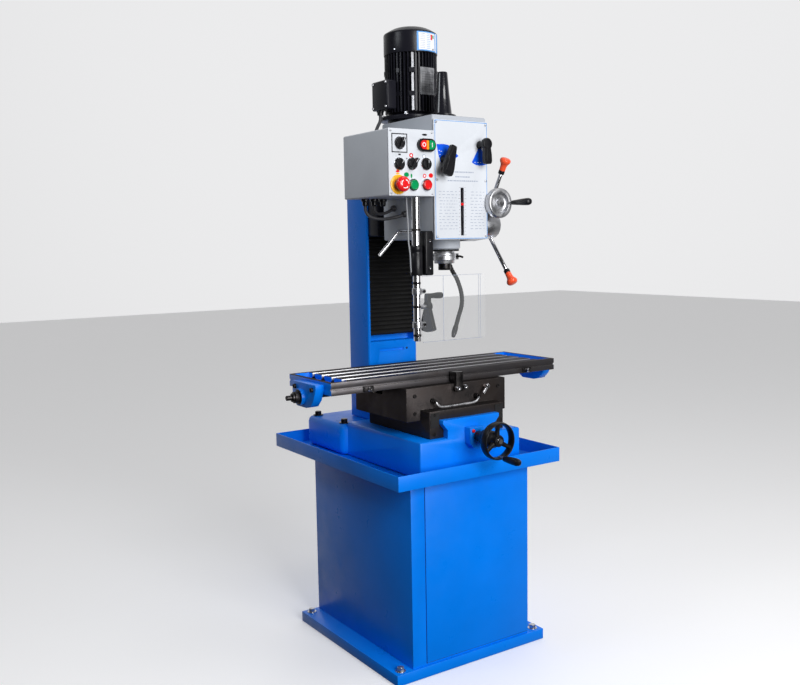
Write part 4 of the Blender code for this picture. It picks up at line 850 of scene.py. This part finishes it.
def make_motor():
    """The finned motor: flange, end bell, fins, tie ribs with one given a bright painted highlight strip,
    nameplate and fan cowl.
    """
    fins, low, high = 44, 1.588, 1.754
    outline = []
    for fin in range(fins):
        middle = 360 * fin / fins
        for radius, share in ((0.0672, -0.34), (0.0688, -0.18), (0.0772, -0.13), (0.0772, 0.13),
            (0.0688, 0.18), (0.0672, 0.34)):
            outline.append(polar(radius, middle + share * 360 / fins))
    prism(outline, low, high)
    lathe(mm((70, 1592), (71.2, 1588), (64, 1584.5), (66, 1582), (90, 1578.5), (92.5, 1576.5),
        (92.5, 1568), (91.5, 1566.4), (70.5, 1566.2), (70, 1556.6)), sides=72)
    for turn in range(4):
        for lean, wide in ((-122, 0.0085), (-154, 0.0045)):
            place = upright(0.074, lean + 90 * turn)
            for z in (1.632, 1.698):
                brick((-0.005, -wide, z), (0.0048, wide, z + 0.012), place)
    piece("motor_frame", "head", "motor", ("motor_body",))
    # A real rib at -121 degrees in three lengths, given a bright satin-metal finish that is a painted
    # highlight.
    for low_z, high_z in ((1.59, 1.632), (1.644, 1.696), (1.71, 1.753)):
        brick((-0.003, -0.0036, low_z), (0.003, 0.0036, high_z), upright(0.0755, -121))
    piece("motor_rib_highlight", "head", "plate", round_by=0.0008)
    for turn in range(4):
        hexagon((*polar(0.083, 45 + 90 * turn), 1.5785), 0.01, 0.0075)
    piece("flange_bolts", "head", "steel", round_by=0.0003)
    cowl = mm((31, 1832.2), (54, 1828.8), (64, 1823.8), (69, 1820.5), (74, 1817.8), (77.5, 1815.5),
        (78.7, 1813.5), (79, 1811), (79, 1756.6), (78.4, 1755), (76.4, 1755), (76.4, 1812), (56, 1825),
        (31, 1829), (0, 1829.5))
    lathe(cowl, sides=72)
    for radius in (0.018, 0.028, 0.038, 0.048):
        z = 1.8322 - max(0, radius - 0.031) * 0.148
        lathe([(radius - 0.0016, z), (radius, z + 0.0011), (radius + 0.0016, z), (radius, z - 0.0015)],
            sides=56, ring=True)
    for turn in range(8):
        brick((0.012, -0.0014, 1.827), (0.031, 0.0014, 1.833), upright(0, 45 * turn))
    lathe(mm((0, 1833.4), (12, 1833.2), (13.5, 1831.2), (0, 1830)), sides=40)
    piece("motor_fan_cowl", "head", "motor", ("fan_cowl",))
    for turn in range(4):
        out = Vector((*polar(1, 20 + 90 * turn), 0))
        lathe(mm((0, 3), (2.8, 2.2), (3.6, -1)), out * 0.0785 + Vector((0, 0, 1.764)),
            matrix=toward(out), sides=16)
    piece("cowl_screws", "head", "steel")
    for name, look, lift, span, band in (
        ("cowl_label", "print_sky", 0.0792, (-111, 69), (1.758, 1.8115)),
        ("cowl_label_field", "print_white", 0.0794, (-107, 44), (1.761, 1.8085)),
        ("cowl_label_edge", "print_white", 0.0794, (-59, 4), (1.759, 1.8105)),
        ("cowl_label_rows", "print_grey", 0.0796, (-104, 12), (1.765, 1.805)),
        ("cowl_label_lines", "print_sky", 0.0796, (-88, 10), (1.765, 1.805)),
        ("cowl_label_mark", "red", 0.0796, (-77, 5), (1.79, 1.805)),
        ("cowl_label_leaf", "green", 0.0796, (-71, 4), (1.795, 1.804)),
    ):
        bands = [band]
        if name.endswith(("rows", "lines")):
            bands = [(band[0] + 0.005 * k, band[0] + 0.005 * k + 0.0009) for k in range(9)]
        for z0, z1 in bands:
            arc, inner = (circle(r, 16, (0, 0), *span) for r in (lift, lift - 0.0004))
            prism(arc + inner[::-1], z0, z1)
        piece(name, "head", look)
    place = upright(0.0775, -87)
    brick((-0.001, -0.025, 1.635), (0.0006, 0.025, 1.712), place)
    piece("motor_nameplate", "head", "plate", round_by=0.0005)
    for row in range(9):
        z = 1.643 + row * 0.007
        brick((0.0006, -0.02, z), (0.0008, 0.02, z + 0.0006), place)
    for column in (-0.02, -0.0065, 0.007, 0.0195):
        brick((0.0006, column, 1.643), (0.0008, column + 0.0005, 1.6996), place)
    piece("nameplate_rules", "head", "print_black")
    for y in (-0.034, 0.034):
        for z in (1.601, 1.669):
            lathe(mm((0, 2.6), (3, 2.2), (3.6, 0)), (-0.1121, y, z), matrix=toward((-1, 0, 0)), sides=16)
    piece("terminal_screws", "head", "steel")
    lathe(mm((9, 12), (9.5, 4), (11, 3), (11, 0)), (-0.0965, 0.02, 1.5936), matrix=toward((0, 0, -1)),
        sides=24)
    piece("terminal_gland", "head", "black")
    route = mm((-96.5, 20, 1586), (-97, 21, 1566), (-104, 28, 1545), (-110, 34, 1520), (-112, 36, 1490),
        (-118, 22, 1462), (-124, 2, 1452), (-126, -8, 1450))
    pipe(smooth_route(route, 6), 0.0048, 14)
    piece("motor_cable", "head", "cable")
    sleeve = mm((12.2, 1686), (14, 1685), (14.8, 1682), (19.5, 1625), (25.8, 1573), (26.8, 1570),
        (37, 1566.5), (38, 1565), (38, 1558), (37.5, 1556.6), (14.8, 1556.6), (14.6, 1590), (9.6, 1660))
    lathe(sleeve, SPINDLE, sides=56)
    piece("drawbar_cover_moulding", "head", "gloss", ("drawbar_cover",))


def make_spindle_parts():
    axis = SPINDLE
    lathe(mm((19, 1400), (28.4, 1400), (29, 1399), (29, 1151), (28.4, 1150), (19, 1150)), axis, sides=72,
        ring=True)
    piece("quill_sleeve", "quill", "steel", ("quill",))
    lathe(mm((29.3, 1179), (32.8, 1179), (33.5, 1178), (33.5, 1174), (32.6, 1173.2), (32.6, 1172),
        (33.5, 1171.2), (33.5, 1160), (32.6, 1158.5), (29.3, 1158.5)), axis, sides=72, ring=True)
    brick((0.032, -0.161, 1.16), (0.047, -0.157, 1.1775))
    brick((0.032, -0.153, 1.16), (0.047, -0.149, 1.1775))
    piece("quill_clamp_collar", "quill", "steel", ("quill_collar",), 0.0004)
    screw_head((0.0415, -0.1612, 1.169), "-Y", 0.0045, 0.0045, "cap")
    pipe(mm((44.5, -156, 1169), (56, -156, 1169), (66, -156, 1166)), 0.003, 14)
    piece("collar_screw", "quill", "dark_steel")
    lathe(mm((7.6, 1640), (8, 1639), (8, 1601), (11, 1599), (11, 1420), (18, 1418), (18, 1400.6),
        (18.6, 1400.4), (18.6, 1149.4), (18, 1149), (18, 1144), (17.2, 1143.2), (17.2, 1141.8),
        (18, 1141), (18, 1132.5), (17, 1130.8), (12.5, 1130.8), (11.8, 1133), (9, 1210), (0, 1211)),
        axis, sides=56)
    piece("spindle_shaft", "spindle", "dark_steel", ("spindle",))
    lathe(mm((30.2, 1190.2), (41, 1189.8), (42.5, 1188), (42.5, 1186), (41, 1184.5), (30.2, 1184.5)),
        axis, sides=64, ring=True)
    piece("quill_wiper", "head", "rubber")


def make_capstan():
    """The capstan: turned hub, three chrome rods, black ferrules and orange knobs."""
    hub_x, axis_y, axis_z = 0.186, -0.106, 1.26
    axis = Vector((hub_x, axis_y, axis_z))
    hub = [(0.006, hub_x + 0.024), (0.007, hub_x + 0.0225), (0.017, hub_x + 0.0222),
        (0.0195, hub_x + 0.0205), (0.0225, hub_x + 0.0165), (0.031, hub_x + 0.0125),
        (0.032, hub_x + 0.0115), (0.032, hub_x - 0.0135), (0.035, hub_x - 0.015),
        (0.043, hub_x - 0.0165), (0.044, hub_x - 0.018), (0.044, 0.1525), (0.043, 0.1504),
        (0.01, 0.1504), (0.01, 0.013), (0.018, 0.0125), (0.018, -0.0125), (0, -0.013)]
    lathe(hub, (0, axis_y, axis_z), "X", 72)
    ways, outward = [], 0.055
    for turn in (115.5, 235.5, 355.5):
        ways.append(Vector((outward, *polar(1, turn))).normalized())
    for out in ways:
        lathe(mm((8.2, 40), (9, 38.5), (9, 26)), axis, matrix=toward(out), sides=28)
    piece("capstan_boss", "capstan", "steel", ("capstan_hub",))
    for out in ways:
        lathe(mm((5.6, 166.2), (6, 165.5), (6, 30)), axis, matrix=toward(out), sides=32)
    piece("capstan_rods", "capstan", "chrome")
    for out in ways:
        lathe(mm((8.8, 174.5), (9.2, 173.5), (9.2, 164.5), (8.4, 163.2)), axis, matrix=toward(out),
            sides=32)
    piece("knob_ferrules", "capstan", "black")
    for number, out in enumerate(ways, 1):
        knob = mm((0, 212.6), (7, 212.4), (12, 211.2), (15, 208.8), (16.4, 205.5), (16.3, 202),
            (14.8, 198.5), (12.2, 195), (10.4, 191), (9.5, 186), (9.2, 179), (8.7, 174.6))
        lathe(knob, axis, matrix=toward(out), sides=40)
        piece(f"capstan_grip_{number}", "capstan", "orange", (f"capstan_knob_{number}",))
    centre = (0.123, -0.2295, 1.318)
    wheel = mm((6.2, 30), (6.2, -4), (15, -5), (16.5, -10), (40, -10.6), (41.6, -11.6), (42.5, -13.5),
        (42.5, -27.5), (41.6, -30), (39.8, -31.6), (38, -32), (31.8, -32), (30, -31.2), (28.8, -29),
        (26.2, -21.5), (24, -20), (15, -20), (13.2, -21.5), (12.2, -32), (11, -33.8), (6, -34.2))
    lathe(wheel, centre, "Y", 72)
    piece("fine_feed_handwheel", "fine_feed", "steel", ("fine_feed_wheel",))
    grip_at = (centre[0] + 0.0335, -0.231, centre[2] + 0.001)
    lathe(mm((4.8, -20), (4.8, -40)), grip_at, "Y", 20)
    piece("fine_feed_pin", "fine_feed", "steel")
    grip = mm((5.2, -38.5), (6, -40), (6.6, -46), (7.6, -60), (9.2, -82), (10.1, -100), (10, -108),
        (8.6, -113.5), (5.5, -115.8), (0, -116))
    lathe(grip, grip_at, "Y", 36)
    piece("fine_feed_grip", "fine_feed", "black")
    for y, z in ((-0.07, 1.23), (-0.07, 1.29), (-0.206, 1.236), (-0.206, 1.278)):
        screw_head((0.1501, y, z), "X", 0.004, 0.003, "cap")
    piece("feed_case_screws", "head", "dark_steel")
    lathe(mm((45.5, 0.8), (47.2, 0.5), (47.2, -0.3), (45.5, -0.3)), (0.15, axis_y, axis_z), "X", 64,
        ring=True)
    piece("capstan_seat", "head", "dark_steel")


def make_quill_lock():
    y, z = -0.155, 1.243
    route = [(-0.085, y, z), (-0.12, y, z), (-0.15, y, z), (-0.158, y, z - 0.0015),
        (-0.165, y, z - 0.008), (-0.19, y, z - 0.0345), (-0.2215, y, z - 0.0655)]
    pipe(smooth_route(route, 5), 0.0045, 20)
    lathe(mm((10, 5), (11, 3), (11, -4), (10, -6)), (-0.1, y, z), "X", 32)
    piece("quill_clamp_lever", "quill_lock", "chrome", ("quill_lock_lever",))


# ---- control box --------------------------------------------------------------------------


def bezel(centre, inner, outer, depth):
    """A turned ring that stands on the control panel."""
    profile = [(inner, depth * 0.75), (inner + 0.0006, depth), (outer - 0.0014, depth),
        (outer - 0.0003, depth * 0.7), (outer, depth * 0.3), (outer, 0.0), (inner, 0.0)]
    lathe(profile, on_front(centre, 0.0001), "-Y", 40, ring=True)


def push_button(name, button, centre, look):
    """A flush push button with a dished cap on a stepped stem."""
    profile = mm((0, 9.676), (9.1, 10.148), (11.18, 11.8), (12.61, 11.092), (13, 9.44), (13, 4.8),
        (9.4, 4.6), (9.4, -19))
    lathe(profile, on_front(centre), "-Y", 40)
    piece(name, button, look, (button,))


def make_switch(name, switch, centre, turn, half):
    """A black knob with a raised grip bar and a white pointer line."""
    depth = 0.0198 if half > 0.012 else 0.015
    profile = mm((0, 10), (12.2, 9.8), (13.6, 8.6), (14, 2.2), (13.4, 1.7), (4.8, 1.7), (4.8, -18))
    lathe(profile, on_front(centre), "-Y", 36)
    spin = Matrix.Rotation(math.radians(turn), 4, "Y")
    place = Matrix.Translation(on_front(centre)) @ spin @ AXES["-Y"]
    prism([(-0.0036, -half), (0.0036, -half), (0.0044, 0), (0.0036, half), (-0.0036, half),
        (-0.0044, 0)], 0.008, depth, matrix=place)
    piece(name, switch, "black", (switch,), 0.0006)
    prism(rect(-0.0006, half * 0.2, 0.0006, half * 0.92), depth - 0.0001, depth + 0.0003, matrix=place)
    piece(name + "_line", switch, "print_white")


def oval_ring(r):
    """An oval about the power buttons: a half circle at each end."""
    return circle(r, 14, (-0.109, 1.4705), -90, 180) + circle(r, 14, (-0.133, 1.4705), 90, 180)


def drop_inner_walls():
    """Removes the faces that two neighbouring prisms share, so that a ring is one solid."""
    bm = pen.bm
    bmesh.ops.remove_doubles(bm, verts=bm.verts[:], dist=0.00001)
    bm.verts.index_update()
    seen = {}
    for face in bm.faces:
        seen.setdefault(tuple(sorted(v.index for v in face.verts)), []).append(face)
    doubled = [face for faces in seen.values() if len(faces) > 1 for face in faces]
    bmesh.ops.delete(bm, geom=doubled, context="FACES_ONLY")


def make_control_box():
    start, stop, emergency = (-0.165, 1.364), (-0.121, 1.365), (-0.211, 1.3645)
    speed, coolant = (-0.206, 1.473), (-0.208, 1.418)
    direction, mode = (-0.167, 1.42), (-0.121, 1.4205)
    for centre in (start, stop):
        bezel(centre, 0.0134, 0.0172, 0.006)
    for centre in (coolant, mode):
        bezel(centre, 0.0143, 0.0176, 0.004)
    for centre in (direction, speed):
        bezel(centre, 0.0143, 0.0172, 0.003)
    piece("panel_bezels", "head", "chrome")
    push_button("start_push", "start_button", start, "green")
    push_button("stop_push", "stop_button", stop, "red")
    bezel(emergency, 0.0134, 0.026, 0.0022)
    piece("emergency_ring", "head", "yellow")
    mushroom = mm((0, 33), (8, 32.8), (14, 31.4), (18, 29), (20, 26.2), (20.5, 23.5), (20, 19.5),
        (18, 17.2), (13.2, 16), (12.8, 9), (12.6, 6.4), (7.4, 6), (7.4, -19))
    lathe(mushroom, on_front(emergency), "-Y", 48)
    piece("emergency_mushroom", "emergency_stop", "red", ("emergency_stop",))
    for turn in range(3):
        tail = 120 * turn
        arc = circle(0.0118, 8, emergency, tail, 62) + circle(0.0098, 8, emergency, tail, 62)[::-1]
        raised(arc, 0.0316, 0.0326)
        tip = [polar(r, tail + a, emergency) for r, a in ((0.0134, 62), (0.0082, 62), (0.0108, 84))]
        raised(tip, 0.0314, 0.0326)
    piece("emergency_arrows", "emergency_stop", "print_white")
    make_switch("speed_range_knob", "speed_range_switch", speed, 20, 0.0138)
    make_switch("coolant_knob", "coolant_selector", coolant, 30, 0.0105)
    make_switch("direction_knob", "direction_selector", direction, 35, 0.016)
    make_switch("mode_knob", "mode_selector", mode, 0, 0.0105)
    half = 0.025
    for x0, z0, x1, z1 in ((-half, -half, half, -half + 0.0026), (-half, half - 0.0026, half, half),
        (-half, -half, -half + 0.0026, half), (half - 0.0026, -half, half, half)):
        on_face(rect(speed[0] + x0, speed[1] + z0, speed[0] + x1, speed[1] + z1), 0.0006)
    piece("rotary_frame", "head", "print_black")
    outer = oval_ring(0.0172)
    inner = oval_ring(0.0128)
    for a in range(len(outer)):
        b = (a + 1) % len(outer)
        corners = [outer[a], outer[b], inner[b], inner[a]]
        raised(corners, 0.0001, 0.009)
    drop_inner_walls()
    piece("power_surround", "head", "black", round_by=0.001, steps=3)
    raised(oval_ring(0.013), 0.0001, 0.0014)
    piece("power_floor", "head", "black")
    for name, node, x, z, look in (("power_on_push", "power_on_button", -0.107, 1.471, "green"),
        ("power_off_push", "power_off_button", -0.134, 1.47, "red")):
        side = 1 if look == "green" else -1
        cap = circle(0.0122, 16, (-0.121 + side * 0.0118, 1.4705), -90 if side > 0 else 90, 180)
        cap += [(-0.121 + side * 0.0046, 1.4705 + side * 0.0122),
            (-0.121 + side * 0.0046, 1.4705 - side * 0.0122)]
        raised(cap, 0.0062, 0.0126)
        lathe(mm((8.3, 6.4), (8.3, -19)), (x, FACE, z), "-Y", 24)
        piece(name, node, look, (node,), 0.0009)
    raised(rect(-0.1252, 1.4584, -0.1168, 1.4826), 0.0012, 0.0104)
    piece("power_lamp", "head", "amber", round_by=0.0008)
    ring = circle(0.0058, 24, (-0.1345, 1.4705))
    hole = circle(0.0038, 24, (-0.1345, 1.4705))
    for a in range(24):
        b = (a + 1) % 24
        raised([ring[a], ring[b], hole[b], hole[a]], 0.0125, 0.0129)
    piece("off_mark", "power_off_button", "print_white")
    raised(rect(-0.109, 1.4645, -0.1068, 1.4765), 0.0125, 0.0129)
    piece("on_mark", "power_on_button", "print_white")
    for name, look, marks in (
        ("lamp_marks_red", "red", (
            (-0.213, 1.399, 0.006, 0.0028), (-0.169, 1.442, 0.006, 0.006),
            (-0.126, 1.389, 0.0055, 0.0055), (-0.105, 1.3905, 0.0072, 0.0062),
        )),
        ("lamp_marks_green", "green", (
            (-0.185, 1.391, 0.008, 0.0062), (-0.169, 1.388, 0.0026, 0.006),
        )),
        ("lamp_marks_yellow", "yellow", ((-0.213, 1.3935, 0.006, 0.002),)),
        ("lamp_marks_black", "print_black", (
            (-0.124, 1.498, 0.0085, 0.0028), (-0.206, 1.443, 0.0045, 0.0022),
            (-0.183, 1.433, 0.0018, 0.0018), (-0.142, 1.433, 0.0018, 0.0018),
        )),
        ("lamp_marks_grey", "print_grey", ((-0.127, 1.441, 0.0055, 0.0058),)),
    ):
        for x, z, rx, rz in marks:
            outline = [(x + rx * u, z + rz * v) for u, v in circle(1, 24)]
            raised(outline, 0.0001, 0.0005)
        piece(name, "head", look)
    for x, z, r in ((-0.169, 1.442, 0.0028), (-0.126, 1.389, 0.003), (-0.127, 1.441, 0.004)):
        raised(circle(r, 20, (x, z)), 0.0004, 0.0007)
    piece("lamp_mark_centres", "head", "print_white")
    screws((-0.234, -0.1005), FACE - 0.0001, (1.5045, 1.3415), 0.003, 0.002)
    piece("panel_screws", "head", "steel")
    for x, y in ((-0.205, -0.06), (-0.175, -0.06), (-0.145, -0.06)):
        lathe(mm((6.2, 20), (8, 17), (8, 8), (11, 7), (11.5, 0)), (x, y, 1.3348),
            matrix=toward((0, 0, -1)), sides=24)
    piece("box_glands", "head", "black", round_by=0.0004)
    routes = ([(-0.205, -0.06, 1.318), (-0.203, -0.06, 1.3), (-0.19, -0.066, 1.284),
        (-0.16, -0.08, 1.278), (-0.13, -0.09, 1.282), (-0.105, -0.095, 1.288), (-0.093, -0.096, 1.292)],
        [(-0.175, -0.06, 1.318), (-0.174, -0.06, 1.304), (-0.16, -0.055, 1.294), (-0.13, -0.045, 1.296),
        (-0.104, -0.04, 1.305), (-0.093, -0.04, 1.31)])
    for route in routes:
        pipe(smooth_route(route, 7), 0.0045, 14)
    for x, y, z in ((-0.0931, -0.096, 1.292), (-0.0931, -0.04, 1.31)):
        lathe(mm((0, 10), (7, 9.5), (9, 4), (9.5, 0)), (x, y, z), matrix=toward((-1, 0, 0)), sides=24)
    piece("box_cables", "head", "cable")
    for z in (1.36, 1.47):
        pipe([(-0.2383, -0.2365, z), (-0.2383, -0.2365, z + 0.02)], 0.0018, 12)
    piece("box_hinges", "head", "grey_sheet")


# ---- guard and hose -----------------------------------------------------------------------


def make_guard():
    x, y = -0.14, -0.215
    post = mm((10.8, 1333.5), (11.8, 1332.5), (11.8, 1203.5), (11.2, 1202.8), (9, 1202.8), (9, 1119.4),
        (10, 1119.4), (10.6, 1118.6), (10.6, 941), (9.8, 940))
    lathe(post, (x, y, 0), sides=40)
    piece("guard_post", "guard", "chrome", ("guard_pole",))
    clips = (1.077, 0.985)
    for z in clips:
        lathe(mm((10.7, 9), (12.8, 9), (13.4, 8), (13.4, -8), (12.8, -9), (10.7, -9)), (x, y, z),
            sides=36, ring=True)
        brick((x + 0.0095, y - 0.004, z - 0.0065), (x + 0.026, y + 0.0012, z + 0.0065))
    piece("guard_clips", "guard", "steel", round_by=0.0005)
    screws((x + 0.02,), y - 0.0074, clips, 0.004, 0.0028, "cap")
    for z, r in ((1.245, 0.0118), (1.1, 0.0106), (1.035, 0.0106), (0.956, 0.0106)):
        lathe([(r, 0.0034), (r + 0.0003, 0.0028), (r + 0.0003, -0.0028), (r, -0.0034)], (x, y, z),
            sides=36, ring=True)
    piece("guard_clip_screws", "guard", "dark_steel")
    for left, right in ((-0.056, -0.0545), (0.07, 0.071), (0.0765, 0.0775)):
        brick((left, y - 0.0076, 0.9356), (right, y - 0.0074, 1.1184))
    for low, high in ((0.9353, 0.9361), (1.1179, 1.1187)):
        brick((-0.1256, y - 0.0072, low), (0.0838, y - 0.0044, high))
    piece("guard_window_lines", "guard", "print_grey")
    panel_y = y - 0.0043
    sheet = [(-0.1258, panel_y), (-0.1258, panel_y - 0.003), (0.084, panel_y - 0.003),
        (0.088, panel_y - 0.0022), (0.1038, panel_y + 0.006), (0.1026, panel_y + 0.0086),
        (0.0868, panel_y + 0.0008), (0.0838, panel_y)]
    prism(sheet, 0.9352, 1.1188)
    piece("guard_window", "guard", "clear", ("guard_panel",), 0.0004)
    sleeve = mm((9.4, 1202), (15, 1202), (16.5, 1201), (17, 1199), (17.5, 1196), (17.5, 1188.5),
        (16.8, 1187.5), (16.8, 1180), (17.5, 1179), (17.5, 1123.5), (16.5, 1121), (15, 1120.2),
        (9.4, 1120.2))
    lathe(sleeve, (x, y, 0), sides=44, ring=True)
    piece("guard_sleeve", "head", "black", ("guard_clamp",))
    screws((-0.108,), -0.2331, (1.14, 1.215), 0.0042, 0.003, "cap")
    piece("guard_bracket_screws", "head", "chrome")
    route = mm((-160, -200, 1334.6), (-160, -202, 1300), (-158.5, -204, 1260), (-160, -207, 1215),
        (-160, -214, 1180), (-159.6, -215, 1150), (-158, -215, 1130))
    pipe(smooth_route(route, 6), 0.002, 12)
    piece("guard_switch_lead", "head", "grey_cable")


HOSE = ((0.052, -0.07, 1.214), (0.053, -0.0705, 1.2), (0.06, -0.075, 1.182), (0.07, -0.082, 1.152),
    (0.078, -0.088, 1.126), (0.09, -0.097, 1.098), (0.095, -0.11, 1.058), (0.088, -0.12, 1.024),
    (0.067, -0.131, 0.99), (0.046, -0.142, 0.956))


def make_hose():
    """The jointed gooseneck: a close chain of ball links down to a tapered nozzle."""
    route = smooth_route(HOSE, 16)
    radii = []
    walked = 0.0
    for before, after in zip([route[0]] + route, route):
        walked += (after - before).length
        radii.append(0.0056 + 0.0012 * abs(math.sin(math.pi * walked / 0.0085)))
    pipe(route, 0.006, 20, radii)
    hose = piece("coolant_gooseneck", "head", "rubber", ("coolant_hose",), angle=60)
    end = route[-1]
    ahead = end - route[-2]
    lathe(mm((2.6, 22), (3, 26), (4.8, 26), (5.4, 24), (7.6, 14), (8, 12), (8, -6), (7.2, -8)), end,
        matrix=toward(ahead), sides=36)
    nozzle = piece("coolant_nozzle", "head", "black")
    lathe(mm((11, 0), (11.5, -2), (10.5, -8), (8.5, -10)), (0.052, -0.07, 1.2168), sides=6)
    lathe(mm((8.6, -9), (8.8, -15), (7.8, -18)), (0.052, -0.07, 1.2168), sides=32)
    union = piece("coolant_union", "head", "steel", round_by=0.0004)


make_stand_details()
make_way_cover()
make_handwheel()
make_lift_crank()
make_saddle_details()
make_table_details()
make_front_plate_details()
make_selector_handle("left_speed_handle", "left_selector", (-0.062, 1.436), 18, 0.034, 0.048, 0.0118)
make_selector_handle("right_speed_handle", "right_selector", (0.064, 1.479), -3, 0.01, 0.055, 0.0165,
    0.72)
make_motor()
make_spindle_parts()
make_capstan()
make_quill_lock()
make_control_box()
make_guard()
make_hose()
